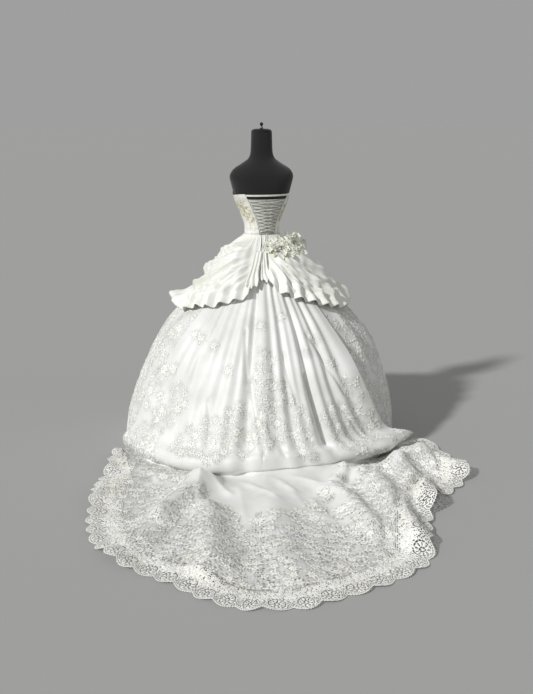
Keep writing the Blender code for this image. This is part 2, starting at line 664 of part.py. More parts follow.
def part_seam(gore, side):
    """Draw a gore's edge at the centre back aside by the seam's gap."""
    columns = GORE_COLUMNS + 1
    rows = len(gore.data.vertices) // columns
    first = GORE_COLUMNS * rows if side < 0 else 0
    for vertex in gore.data.vertices[first:first + rows]:
        vertex.co.x += side * BACK_SEAM_GAP


def build_border():
    """The lace border: a flat band from its seam to the scalloped edge, with two eyelets in each scallop."""
    columns = SCALLOPS * SCALLOP_COLUMNS
    share = np.linspace(-1, 1, columns + 1)
    corner_seam, corners = border_seam()
    seam = np.stack([np.interp(share, corners, corner_seam[:, k]) for k in (0, 1)], -1)
    seam_height = np.interp(share, corners, floor_height(corner_seam))
    hem, out = hem_line(share)
    phase = np.arange(columns + 1) / SCALLOP_COLUMNS
    scallop = SCALLOP_DEPTH * (np.abs(np.sin(math.pi * phase)) - 0.5) * ease(0, 0.06, 1 - np.abs(share))
    edge = hem + out * scallop[:, None]
    ends = 1 + 2 * ease(0.12, 0, 1 - np.abs(share))
    seam = seam + out * (BORDER_SEAM_GAP * ends)[:, None]
    rows = np.array(BORDER_ROWS)[None, :, None]
    flat = seam[:, None] + (edge - seam)[:, None] * rows
    blend = ease(0, 0.36, rows[..., 0])
    height = seam_height[:, None] * (1 - blend) + floor_height(flat) * blend
    points = np.concatenate([flat, height[..., None]], -1)
    third = SCALLOPS // 3 * SCALLOP_COLUMNS
    cuts = [0, third, 2 * third, columns]
    for word, start, end in zip(("left", "back", "right"), cuts, cuts[1:]):
        piece = points[start:end + 1].copy()
        for edge_column, inner, sign in ((0, 1, 1), (-1, -2, -1)):
            way = piece[inner] - piece[edge_column]
            piece[edge_column] += way / np.linalg.norm(way, axis=-1, keepdims=True) * SEAM_GAP

        def open_cell(i, j):
            return j == HOLE_ROW and i % SCALLOP_COLUMNS in HOLE_COLUMNS

        add_cloth(f"hem_lace_{word}", piece, "ivory_lace", LACE_WALL, train_axis, open_cell)


def overskirt_point(angle, share):
    """The overskirt at an angle, from its gathers at 0 to its hem at 1."""
    return overskirt_at(angle, hem_row(angle) * share)


def hem_row(angle):
    return ball_row(column_at(OVERSKIRT_HEM, "height", "angle", np.where(angle > 180, angle - 360, angle)))


def overskirt_at(angle, row, extra=0.0):
    """The overskirt at an angle and a row of the ball, with the folds that fan out from the gathers."""
    share = row / hem_row(angle)
    base = ball_point(angle, row, 0.0)
    rise = 0.0
    for i in range(len(OVERSKIRT_FOLDS["row"])):
        fold = {name: values[i] for name, values in OVERSKIRT_FOLDS.items()}
        along = np.linspace(0, 1, 13)
        line = ball_point(fold["angle0"] + (fold["angle1"] - fold["angle0"]) * along,
                          ball_row(fold["height0"] + (fold["height1"] - fold["height0"]) * along), 0.0)
        rise = rise + fold["rise"] * crest(base, line, fold["width"], FOLD_GATHER)
    waves = np.cos(np.radians(angle) * RUFFLE_WAVES)
    ruffle = RUFFLE_DEPTH * (1 + waves) * ease(0.72, 1.0, share)
    gather = GATHER_DEPTH * (1 + np.cos(np.radians(angle) * GATHERS)) * ease(0.05, 0.2, share)
    out = layer_lift(OVERSKIRT_LIFT, row) + (rise + gather) * ease(0.02, 0.2, share) + ruffle
    return ball_point(angle, row, out + extra)


def build_overskirt():
    share = np.array([0, 0.12, 0.26, 0.41, 0.56, 0.70, 0.82, 0.91, 1.0])[None, :]
    across = np.linspace(0, 1, 29)[:, None]
    inset = np.degrees(SEAM_GAP / HIP_RADIUS)
    inner_left = -1.0 - 9.0 * ease(0.3, 1.0, share)
    inner_right = 1.0 + 6.0 * ease(0.3, 1.0, share)
    left = -SWAG_END + (inner_left + SWAG_END) * across
    right = inner_right + (SWAG_END - inner_right) * across
    front = np.linspace(SWAG_END + inset, 360 - SWAG_END - inset, 15)[:, None]
    for name, angle in (("overskirt_left", left), ("overskirt_right", right), ("overskirt_front", front)):
        points = overskirt_point(angle + 0 * share, share + 0 * angle)
        add_cloth(name, points, "ivory_satin", parent=train_axis)
    for tail in TAILS:
        add_tail(**tail)


def add_tail(name, angles, heights, widths, lift):
    """A narrow pleated tail that hangs down over the skirt from the gathers."""
    down = np.linspace(0, 1, 6)[None, :]
    across = np.linspace(-0.5, 0.5, 8)[:, None]
    row = ball_row(heights[0] + (heights[1] - heights[0]) * down)
    radius, _ = ball_section(np.array([0.0]), row)
    width = widths[0] + (widths[1] - widths[0]) * down
    angle = angles[0] + (angles[1] - angles[0]) * down + np.degrees(across * width / radius)
    pleat = TAIL_PLEAT_DEPTH * (1 + np.cos(2 * math.pi * TAIL_PLEATS * across)) * (0.3 + 0.7 * down)
    point_row = row + 0.35 * (0.5 - np.abs(across)) * down
    cloth_lift = lift + 0.012 * (1 - down)
    tail = add_cloth(name, ball_point(angle, point_row, cloth_lift + pleat), "ivory_satin", parent=train_axis)
    middle = angles[0] * 0.7 + angles[1] * 0.3
    seat(tail, [gown.objects["overskirt_left"], gown.objects["overskirt_right"]], outward(middle, heights[0]))


def seat(item, others, way):
    """Slide a piece against a way until it lies the flower gap from the nearest of the others."""
    def tree(thing):
        graph = bpy.context.evaluated_depsgraph_get()
        finished = thing.evaluated_get(graph)
        mesh = bmesh.new()
        mesh.from_mesh(finished.to_mesh())
        finished.to_mesh_clear()
        mesh.transform(thing.matrix_world)
        made = BVHTree.FromBMesh(mesh)
        points = [vertex.co.copy() for vertex in mesh.verts]
        centres = [face.calc_center_median() for face in mesh.faces]
        mesh.free()
        return made, points + centres

    bpy.context.view_layer.update()
    fixed = [tree(other) for other in others]
    low, high = -0.04, 0.08
    start = item.location.copy()
    for _ in range(18):
        shift = (low + high) / 2
        item.location = start + way * shift
        bpy.context.view_layer.update()
        moving, moving_points = tree(item)
        clear = True
        for still, still_points in fixed:
            if still.overlap(moving):
                clear = False
                break
            gap = min(still.find_nearest(point)[3] for point in moving_points)
            near = [moving.find_nearest(point, 0.02)[3] for point in still_points]
            gap = min([gap] + [distance for distance in near if distance is not None])
            if gap < FLOWER_GAP:
                clear = False
                break
        low, high = (low, shift) if clear else (shift, high)
    item.location = start + way * high
    bpy.context.view_layer.update()


def outward(angle, height):
    """The way out from the ball skirt, square to it."""
    row = ball_row(np.array([height]))
    near, far = (ball_point(np.array([angle]), row, np.array([out]))[0] for out in (0, 1))
    return Vector(far - near)


def place_on_overskirt(item, angle, height):
    """Stand a piece on the overskirt, its own up along the skirt's outward normal."""
    spot = ball_point(np.array([angle]), ball_row(np.array([height])), np.array([OVERSKIRT_LIFT]))[0]
    normal = outward(angle, height)
    item.rotation_mode = "QUATERNION"
    item.rotation_quaternion = normal.to_track_quat("Z", "Y")
    item.location = Vector(spot) + normal * 0.02
    return normal


def build_lace_ends():
    """The lacing's two ends hang from the bottom of the opening over the overskirt."""
    for end in LACE_ENDS:
        row = ball_row(np.array(end["heights"]))
        route = overskirt_at(np.array(end["angles"]), row, 2 * LACE_CORD + SEAM_GAP)
        start_angle = np.array([end["angles"][0] + 1.0 + TRAIN_SWING])
        lift = BODICE_LIFT + LACE_CORD + LACE_END_LIFT
        start = torso_point(start_angle, np.array([LACE_END_START_HEIGHT]), lift)[0]
        turn = math.radians(-TRAIN_SWING)
        start = (start[0] * math.cos(turn) - start[1] * math.sin(turn),
                 start[0] * math.sin(turn) + start[1] * math.cos(turn), start[2])
        points = np.vstack([start, route])
        at = np.linspace(0, len(points) - 1, 2 * len(points) - 1)
        stations = {"row": np.arange(len(points), dtype=float)}
        for axis, letter in enumerate("xyz"):
            stations[letter] = points[:, axis]
        smooth = np.stack([column_at(stations, letter, "row", at) for letter in "xyz"], -1)
        add_cord(end["name"], smooth, LACE_CORD, "white_cord", train_axis, bevel=1)


def build_flowers():
    """Roses rolled from a gathered strip, with leaves and buds, sewn on from the largest to the smallest."""
    under = ("overskirt_left", "overskirt_right", "overskirt_tail_left", "overskirt_tail_right",
             "bodice_back_right", "bodice_back_left", "bodice_side_back_right", "lacing_strand_left",
             "lacing_strand_right", "lace_end_left", "lace_end_right")
    placed = [gown.objects[name] for name in under]
    for rose in ROSES:
        across = np.linspace(0, 1, ROSE_COLUMNS + 1)[:, None]
        down = np.array([0.0, 0.45, 1.0])[None, :]
        turn = 360 * ROSE_TURNS * across
        foot = rose["size"] * (0.12 + 0.16 * across)
        flare = rose["size"] * (0.16 + 0.68 * across) * (1 + 0.10 * np.cos(np.radians(turn * 2.2)))
        radius = flare + (foot - flare) * down ** 0.8
        height = rose["size"] * (0.75 - 0.42 * across) * (1 - down) + 0.0012
        item = add_cloth(rose["name"], polar(turn, radius, height), "cloth_flower", ROSE_WALL, train_axis)
        normal = place_on_overskirt(item, rose["angle"], rose["height"])
        seat(item, placed, normal)
        placed.append(item)
    for leaf in LEAVES:
        along = np.linspace(0, 1, 7)[:, None]
        across = np.linspace(1, -1, 5)[None, :]
        half = leaf["width"] / 2 * (0.10 + 0.90 * np.sin(math.pi * (0.06 + 0.90 * along)) ** 0.8)
        heading = math.radians(leaf["turn"])
        x, y = along * leaf["length"], across * half
        z = 0.004 * np.abs(across) + 0.010 * along**2
        points = np.stack(np.broadcast_arrays(x * math.cos(heading) - y * math.sin(heading),
                                              x * math.sin(heading) + y * math.cos(heading), z), -1)
        item = add_cloth(leaf["name"], points, "cloth_flower", ROSE_WALL, train_axis)
        normal = place_on_overskirt(item, leaf["angle"], leaf["height"])
        seat(item, placed, normal)
        placed.append(item)
    for bud in BUDS:
        mesh = bpy.data.meshes.new(bud["name"])
        ball = bmesh.new()
        bmesh.ops.create_uvsphere(ball, u_segments=10, v_segments=7, radius=bud["size"])
        bmesh.ops.scale(ball, vec=(0.8, 0.8, 1.2), verts=ball.verts)
        ball.to_mesh(mesh)
        ball.free()
        mesh.shade_smooth()
        item = add_object(bud["name"], mesh, "cloth_flower", train_axis)
        normal = place_on_overskirt(item, bud["angle"], bud["height"])
        seat(item, placed, normal)
        placed.append(item)


for old in list(bpy.data.objects):
    bpy.data.objects.remove(old)
gown = bpy.data.collections.new("wedding_gown_on_form")
bpy.context.scene.collection.children.link(gown)
train_axis = bpy.data.objects.new("train_axis", None)
train_axis.rotation_euler.z = math.radians(TRAIN_SWING)
gown.objects.link(train_axis)
materials = make_materials()

build_form()
build_bodice()
build_lacing()
build_ball_skirt()
build_border()
build_overskirt()
build_lace_ends()
build_flowers()
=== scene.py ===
import math

import bpy
import numpy as np
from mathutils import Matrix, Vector


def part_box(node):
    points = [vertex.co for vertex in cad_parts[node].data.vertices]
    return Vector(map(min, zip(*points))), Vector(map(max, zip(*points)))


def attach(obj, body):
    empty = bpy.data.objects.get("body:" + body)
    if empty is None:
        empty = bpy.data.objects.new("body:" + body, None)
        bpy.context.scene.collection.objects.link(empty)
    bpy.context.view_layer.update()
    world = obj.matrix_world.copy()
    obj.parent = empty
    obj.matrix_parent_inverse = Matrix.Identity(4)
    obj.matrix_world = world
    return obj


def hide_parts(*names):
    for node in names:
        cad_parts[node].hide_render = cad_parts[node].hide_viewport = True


# A strapless laced wedding gown on a dress form, dressed over its solids.
# Metres, +Z up. The lacing faces -Y. Bodice angles start there, skirt angles at the middle of the train,
# which is swept to the left; both grow towards the right as seen from behind.

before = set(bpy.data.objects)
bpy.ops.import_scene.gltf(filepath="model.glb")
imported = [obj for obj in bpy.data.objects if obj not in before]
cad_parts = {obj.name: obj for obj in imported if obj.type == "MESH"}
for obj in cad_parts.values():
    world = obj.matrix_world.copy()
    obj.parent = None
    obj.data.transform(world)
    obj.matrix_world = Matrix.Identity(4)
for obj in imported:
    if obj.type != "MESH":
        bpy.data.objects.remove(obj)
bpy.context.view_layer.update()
print("frame loaded:", len(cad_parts), "nodes")

seam = {"gap": 0.0004, "bodiceGap": 0.0010, "borderGap": 0.0020, "floor": 0.0006, "wall": 0.0020}
trainSwing = -22.0


def table(columns, *rows):
    # named columns, one array each; the column called row is the row's own number
    named = {name: np.array([row[i] for row in rows]) for i, name in enumerate(columns.split())}
    named["row"] = np.arange(len(rows), dtype=float)
    return named


def columnAt(data, column, key, at):
    # a smooth curve through the table: cubic pieces whose slopes never overshoot the values
    keys, values = data[key], data[column]
    steps = np.diff(values) / np.diff(keys)
    product = steps[:-1] * steps[1:]
    total = np.where(product > 0, steps[:-1] + steps[1:], 1.0)
    slopes = np.concatenate([steps[:1], np.where(product > 0, 2 * product / total, 0.0), steps[-1:]])
    at = np.clip(at, keys[0], keys[-1])
    i = np.clip(np.searchsorted(keys, at) - 1, 0, len(keys) - 2)
    width = keys[i + 1] - keys[i]
    s = (at - keys[i]) / width
    return (values[i] * (1 + 2 * s) * (1 - s) ** 2 + values[i + 1] * s * s * (3 - 2 * s)
            + width * (slopes[i] * s * (1 - s) ** 2 - slopes[i + 1] * s * s * (1 - s)))


def ease(low, high, at):
    # from 0 at low to 1 at high, level at both ends: s squared times (3 - 2 s)
    s = np.clip((at - low) / (high - low), 0.0, 1.0)
    return s * s * (3 - 2 * s)


def polar(angle, radius, height):
    # round the axis: radius times sine to the right, radius times cosine backwards
    turn = np.radians(angle)
    return np.stack(np.broadcast_arrays(radius * np.sin(turn), -radius * np.cos(turn), height), -1)


def crest(points, line, width, gather=0.0, sharp=False):
    # a bell across the way to a line, exp(-(distance / width) squared), that grows over its gathered start;
    # a sharp one is a pressed ridge, exp(-distance / width) with its very top rounded
    distance, along = np.full(points.shape[:-1], 9.0), np.zeros(points.shape[:-1])
    for k in range(len(line) - 1):
        step = line[k + 1] - line[k]
        away = points - line[k]
        share = np.clip((away * step).sum(-1) / (step * step).sum(), 0, 1)
        far = np.linalg.norm(away - share[..., None] * step, axis=-1)
        along = np.where(far < distance, (k + share) / (len(line) - 1), along)
        distance = np.minimum(distance, far)
    bell = np.exp(0.25 - np.hypot(distance / width, 0.25)) if sharp else np.exp(-(distance / width) ** 2)
    return bell * (ease(0, gather, along) if gather else 1.0)


def softNoise(x, y, seed):
    # four turned sine sheets, each bent by the one before it, from -1 to 1
    luck = np.random.default_rng(seed)
    bent, total = 0.0, 0.0
    for k in range(4):
        turn, phase = luck.uniform(0, math.pi), luck.uniform(0, 2 * math.pi, 2)
        a = x * math.cos(turn) + y * math.sin(turn)
        bent = np.sin(a * (1 + 0.6 * k) + phase[0] + 1.3 * bent)
        total = total + bent
    return total / 4


def swung(points):
    # from the train's frame to the row frame: a turn about the axis
    turn = math.radians(trainSwing)
    x, y = points[..., 0], points[..., 1]
    return np.stack([x * math.cos(turn) - y * math.sin(turn), x * math.sin(turn) + y * math.cos(turn),
                     points[..., 2]], -1)


def smoothRows(points, count):
    # down each column a cubic through the rows, resampled at even steps of the columns' mean length
    at = np.concatenate([[0], np.cumsum(np.linalg.norm(np.diff(points, axis=1), axis=-1).mean(0))])
    slope = np.gradient(points, at, axis=1)
    to = np.linspace(0, at[-1], count)
    i = np.clip(np.searchsorted(at, to) - 1, 0, len(at) - 2)
    width = (at[i + 1] - at[i])[None, :, None]
    s = ((to - at[i])[None, :, None]) / width
    return (points[:, i] * (1 + 2 * s) * (1 - s) ** 2 + points[:, i + 1] * s * s * (3 - 2 * s)
            + width * (slope[:, i] * s * (1 - s) ** 2 - slope[:, i + 1] * s * s * (1 - s)))


def outwardOf(points):
    # square to the cloth: the way down times the way across
    out = np.cross(np.gradient(points, axis=1), np.gradient(points, axis=0))
    return out / np.maximum(np.linalg.norm(out, axis=-1, keepdims=True), 1e-12)


def meshPiece(name, vertices, faces, material, uv=None):
    # one mesh object at the origin, its place in its vertices; faces all have the same number of corners
    mesh = bpy.data.meshes.new(name)
    mesh.vertices.add(len(vertices))
    mesh.vertices.foreach_set("co", np.ascontiguousarray(vertices, dtype=np.float32).ravel())
    mesh.loops.add(faces.size)
    mesh.loops.foreach_set("vertex_index", faces.ravel().astype(np.int32))
    mesh.polygons.add(len(faces))
    mesh.polygons.foreach_set("loop_start", np.arange(0, faces.size, faces.shape[1], dtype=np.int32))
    mesh.polygons.foreach_set("use_smooth", np.ones(len(faces), dtype=bool))
    if uv is not None:
        layer = mesh.uv_layers.new(name="cloth")
        layer.uv.foreach_set("vector", uv[faces.ravel()].astype(np.float32).ravel())
    mesh.update(calc_edges=True)
    mesh.validate()
    mesh.materials.append(material)
    piece = bpy.data.objects.new(name, mesh)
    bpy.context.scene.collection.objects.link(piece)
    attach(piece, "root")
    return piece


def quadsOf(columns, rows, closed=False):
    # down, then across, so that the faces point outwards
    number = np.arange(columns * rows).reshape(columns, rows)
    after = np.roll(number, -1, axis=0) if closed else number[1:]
    here = number if closed else number[:-1]
    return np.stack([here[:, :-1], here[:, 1:], after[:, 1:], after[:, :-1]], -1).reshape(-1, 4)


def clothUv(points):
    # the cloth's own flat measure, in metres: mean length across and mean length down
    across = np.linalg.norm(np.diff(points, axis=0), axis=-1).mean(1)
    down = np.linalg.norm(np.diff(points, axis=1), axis=-1).mean(0)
    u, v = np.concatenate([[0], np.cumsum(across)]), np.concatenate([[0], np.cumsum(down)])
    return np.stack(np.meshgrid(u, -v, indexing="ij"), -1)


def clothPiece(name, points, material, wall=0.0010, keep=None):
    # a sheet through a grid of points, columns to the right and rows down, with its wall behind them
    columns, rows = points.shape[:2]
    faces = quadsOf(columns, rows)
    if keep is not None:
        faces = faces[keep.ravel()]
    piece = meshPiece(name, points.reshape(-1, 3), faces, material, clothUv(points).reshape(-1, 2))
    if wall:
        shell = piece.modifiers.new("wall", "SOLIDIFY")
        shell.thickness, shell.offset = wall, -1.0
    return piece


def tubePiece(name, points, radius, material, sides=8):
    # a round cord along a path: a circle at each point, square to the path, with its two ends rounded off
    points = np.asarray(points, dtype=float)
    along = np.gradient(points, axis=0)
    along /= np.linalg.norm(along, axis=1, keepdims=True)
    points = np.vstack([points[0] - along[0] * radius * 0.5, points, points[-1] + along[-1] * radius * 0.5])
    along = np.vstack([along[:1], along, along[-1:]])
    side = np.zeros_like(points)
    side[0] = np.cross(along[0], (0, 0, 1) if abs(along[0][2]) < 0.9 else (1, 0, 0))
    for k in range(1, len(points)):
        side[k] = side[k - 1] - along[k] * (side[k - 1] @ along[k])
    side /= np.linalg.norm(side, axis=1, keepdims=True)
    up = np.cross(along, side)
    turn = np.linspace(0, 2 * math.pi, sides, endpoint=False)
    girth = np.full(len(points), radius)
    girth[0] = girth[-1] = radius * 0.45
    ring = side[None] * np.cos(turn)[:, None, None] + up[None] * np.sin(turn)[:, None, None]
    grid = points[None] + ring * girth[None, :, None]
    length = np.concatenate([[0], np.cumsum(np.linalg.norm(np.diff(points, axis=0), axis=1))])
    faces = quadsOf(sides, len(points), closed=True)[:, ::-1]
    uv = np.stack(np.meshgrid(turn / (2 * math.pi) * 0.01, length, indexing="ij"), -1)
    number = np.arange(sides * len(points)).reshape(sides, len(points))
    caps = [[number[0, e], number[k, e], number[k + 1, e], number[min(k + 2, sides - 1), e]][::flip]
            for e, flip in ((0, 1), (len(points) - 1, -1)) for k in range(1, sides - 2, 2)]
    piece = meshPiece(name, grid.reshape(-1, 3), np.vstack([faces, np.array(caps)]), material, uv.reshape(-1, 2))
    return piece


def linear(hexColour):
    # sRGB hex to linear
    channels = [int(hexColour[i:i + 2], 16) / 255 for i in (1, 3, 5)]
    return tuple(c / 12.92 if c <= 0.04045 else ((c + 0.055) / 1.055) ** 2.4 for c in channels) + (1.0,)


def addNode(tree, kind, settings=None, values=None, links=None):
    # one node with its settings, its socket values and what feeds it
    node = tree.nodes.new("ShaderNode" + kind)
    for key, value in (settings or {}).items():
        setattr(node, key, value)
    for key, value in (values or {}).items():
        node.inputs[key].default_value = value
    for key, source in (links or {}).items():
        tree.links.new(source, node.inputs[key])
    return node


def newMaterial(name, colour, values):
    material = bpy.data.materials.new(name)
    material.use_nodes = True
    tree = material.node_tree
    surface = tree.nodes["Principled BSDF"]
    surface.inputs["Base Color"].default_value = linear(colour)
    for key, value in values.items():
        surface.inputs[key].default_value = value
    return material, tree, surface


def wovenMaterial(name, light, dark, values, thread, relief, slub=0.0, flat=True, mottle=7.0):
    # a plain weave: two crossed waves a thread apart, their relief as bump; long slubs along the weft;
    # a faint drift of colour over tens of centimetres
    material, tree, surface = newMaterial(name, light, values)
    place = addNode(tree, "TexCoord").outputs["UV" if flat else "Object"]
    waves = [addNode(tree, "TexWave", {"bands_direction": way}, {"Scale": 0.314 / thread, "Distortion": 0.6,
                     "Detail": 1.0, "Detail Scale": 2.0}, {"Vector": place}).outputs["Fac"] for way in ("X", "Y")]
    weave = addNode(tree, "Math", {"operation": "MULTIPLY"}, links={0: waves[0], 1: waves[1]}).outputs[0]
    stretched = addNode(tree, "Mapping", values={"Scale": (9.0, 420.0, 9.0)}, links={"Vector": place}).outputs[0]
    slubs = addNode(tree, "TexNoise", values={"Scale": 1.0, "Detail": 2.0},
                    links={"Vector": stretched}).outputs["Fac"]
    height = addNode(tree, "Math", {"operation": "MULTIPLY_ADD"}, {1: slub}, {0: slubs, 2: weave}).outputs[0]
    bump = addNode(tree, "Bump", values={"Strength": 0.35, "Distance": relief}, links={"Height": height})
    tree.links.new(bump.outputs[0], surface.inputs["Normal"])
    drift = addNode(tree, "TexNoise", values={"Scale": mottle, "Detail": 3.0},
                    links={"Vector": addNode(tree, "TexCoord").outputs["Object"]}).outputs["Fac"]
    shade = addNode(tree, "MapRange", values={"From Min": 0.35, "From Max": 0.65}, links={"Value": drift}).outputs[0]
    colour = addNode(tree, "Mix", {"data_type": "RGBA"}, {6: linear(dark), 7: linear(light)}, {0: shade})
    tree.links.new(colour.outputs[2], surface.inputs["Base Color"])
    return material, tree, surface


# Duchess satin: silk woven with long floats and pressed. Smooth with a broad soft sheen and faint weft slubs.
duchessSatin, _, _ = wovenMaterial("duchess_satin", "#f3f2ea", "#e6e6da",
                                   {"Roughness": 0.36, "Sheen Weight": 0.15, "Sheen Roughness": 0.4,
                                    "Anisotropic": 0.35}, 0.0014, 0.00012, 0.8)
# Silk taffeta: a crisp plain weave. Its folds break sharply and flash, and hollows turn a cool greenish ivory.
crispTaffeta, _, _ = wovenMaterial("silk_taffeta", "#f6f6f1", "#e8eae0",
                                   {"Roughness": 0.36, "Sheen Weight": 0.1, "Anisotropic": 0.3,
                                    "Specular IOR Level": 0.6}, 0.0012, 0.00015, 1.2)
# Silk organza laid over satin: a sheer stiff weave, so a soft veil of light over a pale ground. Where lace is
# worked on it the satin stops, and the net ground between the motifs is painted darker, as painted shade for what
# shows through it, more on the floor than on the ball; its holes are spots of painted shadow. The holes of real net
# lie 2 mm apart, drawn here 8 mm apart so that they show.
sheerOrganza, organzaTree, organzaSurface = wovenMaterial(
    "silk_organza_over_satin", "#efefed", "#e1e2de",
    {"Roughness": 0.46, "Sheen Weight": 0.35, "Sheen Roughness": 0.3}, 0.0016, 0.00018, 0.5)
netPlace = addNode(organzaTree, "TexCoord").outputs["UV"]
netHoles = addNode(organzaTree, "TexVoronoi", {"distance": "EUCLIDEAN"}, {"Scale": 120.0, "Randomness": 0.45},
                   {"Vector": netPlace}).outputs["Distance"]
netHoleShadow = addNode(organzaTree, "MapRange", links={"Value": netHoles},
                   values={"From Min": 0.20, "From Max": 0.50, "To Min": 1.0, "To Max": 0.20}).outputs[0]
workedShadeShare = addNode(organzaTree, "Attribute", {"attribute_name": "worked"}).outputs["Fac"]
netShadowShare = addNode(organzaTree, "Math", {"operation": "MULTIPLY"}, links={0: netHoleShadow, 1: workedShadeShare}).outputs[0]
plainColour = organzaSurface.inputs["Base Color"].links[0].from_socket
# painted shade: the worked net ground darkened towards a grey green, with darker spots of painted shadow in its holes
netShadowColour = addNode(organzaTree, "Mix", {"data_type": "RGBA"}, {7: linear("#747870")}, {0: netShadowShare, 6: plainColour})
organzaTree.links.new(netShadowColour.outputs[2], organzaSurface.inputs["Base Color"])
# Guipure lace: thick satin stitch worked in matt cotton, corded edges. Chalky, with fine raised threads and
# small eyelets between them, painted dark as the shadow seen through them; real eyelets lie 3 mm apart, drawn here 8
# mm apart so that they show.
cordedLace, laceTree, laceSurface = wovenMaterial("corded_guipure_lace", "#fcfcf8", "#f3f2ea",
                                 {"Roughness": 0.82, "Sheen Weight": 0.25}, 0.0011, 0.00035, 0.3, flat=False)
eyelets = addNode(laceTree, "TexVoronoi", values={"Scale": 125.0, "Randomness": 0.8},
                  links={"Vector": addNode(laceTree, "TexCoord").outputs["Object"]}).outputs["Distance"]
eyeletShadowShare = addNode(laceTree, "MapRange", links={"Value": eyelets},
                      values={"From Min": 0.20, "From Max": 0.34, "To Min": 0.75, "To Max": 0.0}).outputs[0]
# painted shadow: the eyelets' spots darkened towards grey
eyeletShadowColour = addNode(laceTree, "Mix", {"data_type": "RGBA"}, {7: linear("#7b7e75")},
                     {0: eyeletShadowShare, 6: laceSurface.inputs["Base Color"].links[0].from_socket})
laceTree.links.new(eyeletShadowColour.outputs[2], laceSurface.inputs["Base Color"])
# Net: cotton tulle behind the lacing, worked with small flowers. Matt and fine.
modestyLace, _, _ = wovenMaterial("worked_tulle", "#cdcec7", "#b4b5ac", {"Roughness": 0.85}, 0.0022, 0.0004)
# Rat-tail cord: satin stitch over a round core. Bright, with the slant of its threads.
ratTail, _, _ = wovenMaterial("rat_tail_cord", "#f5f5ef", "#e4e5dd", {"Roughness": 0.35, "Sheen Weight": 0.2},
                              0.0009, 0.0002)
# Organza and satin petals, cut hot so that their edges curl. Ivory, with a greener darker tone painted towards their
# feet as the shade deep in the flower.
rosePetal, petalTree, petalSurface = wovenMaterial(
    "organza_petal", "#faf9f3", "#eeeee0", {"Roughness": 0.5, "Sheen Weight": 0.3, "Subsurface Weight": 0.12,
                                            "Subsurface Scale": 0.004}, 0.0012, 0.00012, 0.4, mottle=55.0)
petalDown = addNode(petalTree, "SeparateXYZ", links={0: addNode(petalTree, "TexCoord").outputs["UV"]}).outputs["Y"]
# painted shade: darker and greener towards the petal's foot
petalFootShade = addNode(petalTree, "MapRange", values={"From Min": -0.014, "From Max": -0.003, "To Max": 0.5},
                    links={"Value": petalDown}).outputs[0]
petalShadeColour = addNode(petalTree, "Mix", {"data_type": "RGBA"}, {7: linear("#b4ba8c")},
                      {0: petalFootShade, 6: petalSurface.inputs["Base Color"].links[0].from_socket})
petalTree.links.new(petalShadeColour.outputs[2], petalSurface.inputs["Base Color"])
# Leaves cut from olive-tinted organza.
organzaLeaf, _, _ = wovenMaterial("organza_leaf", "#d2d6b4", "#aeb48a", {"Roughness": 0.5, "Sheen Weight": 0.2},
                                  0.0012, 0.00015, 0.4, mottle=60.0)
# Glass pearls: a lacquered bead with a soft deep gloss.
pearl, _, _ = newMaterial("glass_pearl", "#f4efe0", {"Roughness": 0.18, "Coat Weight": 0.6, "Coat Roughness": 0.08,
                          "Sheen Weight": 0.1})
# Goldwork: pale gilt bullion, a fine coiled wire sewn down in curls. Small hard glints, warm against the satin.
giltBullion, giltTree, giltSurface = newMaterial("gilt_bullion", "#d9d2a6", {"Metallic": 0.2, "Roughness": 0.42})
coil = addNode(giltTree, "TexWave", {"bands_direction": "Y"}, {"Scale": 260.0},
               {"Vector": addNode(giltTree, "TexCoord").outputs["UV"]})
giltTree.links.new(addNode(giltTree, "Bump", values={"Strength": 0.7, "Distance": 0.0003},
                           links={"Height": coil.outputs["Fac"]}).outputs[0], giltSurface.inputs["Normal"])
# Cotton jersey stretched over a padded body: black, matt, with a fine vertical rib.
blackJersey, _, _ = wovenMaterial("cotton_jersey", "#141416", "#0c0c0e", {"Roughness": 0.9, "Sheen Weight": 0.25,
                                  "Sheen Roughness": 0.5}, 0.0013, 0.0003, 0.3)


def hardMaterial(name, light, dark, values, grain, relief):
    # a coated hard surface: fine orange peel as bump, rubbed a little lighter in patches
    material, tree, surface = newMaterial(name, light, values)
    place = addNode(tree, "TexCoord").outputs["Object"]
    peel = addNode(tree, "TexNoise", values={"Scale": 1 / grain, "Detail": 3.0}, links={"Vector": place})
    bump = addNode(tree, "Bump", values={"Strength": 0.25, "Distance": relief}, links={"Height": peel.outputs["Fac"]})
    tree.links.new(bump.outputs[0], surface.inputs["Normal"])
    rub = addNode(tree, "TexNoise", values={"Scale": 18.0, "Detail": 6.0}, links={"Vector": place}).outputs["Fac"]
    share = addNode(tree, "MapRange", values={"From Min": 0.35, "From Max": 0.75}, links={"Value": rub}).outputs[0]
    colour = addNode(tree, "Mix", {"data_type": "RGBA"}, {6: linear(light), 7: linear(dark)}, {0: share})
    tree.links.new(colour.outputs[2], surface.inputs["Base Color"])
    return material


# Moulded ABS, polished in the tool: deep black gloss.
mouldedCap = hardMaterial("moulded_abs", "#161617", "#0e0e10", {"Roughness": 0.22}, 0.0011, 0.00005)
# Stoved black lacquer over steel and cast iron: satin gloss over a fine orange peel.
stovedLacquer = hardMaterial("stoved_black_lacquer", "#1b1b1d", "#121214", {"Roughness": 0.4, "Coat Weight": 0.2},
                             0.0016, 0.00012)
for nodeName, finish in (("form_neck_cap", mouldedCap), ("form_finial", mouldedCap), ("stand_pole", stovedLacquer),
                         ("stand_base", stovedLacquer)):
    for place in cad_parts[nodeName].material_slots:
        place.material = finish
print("materials made")

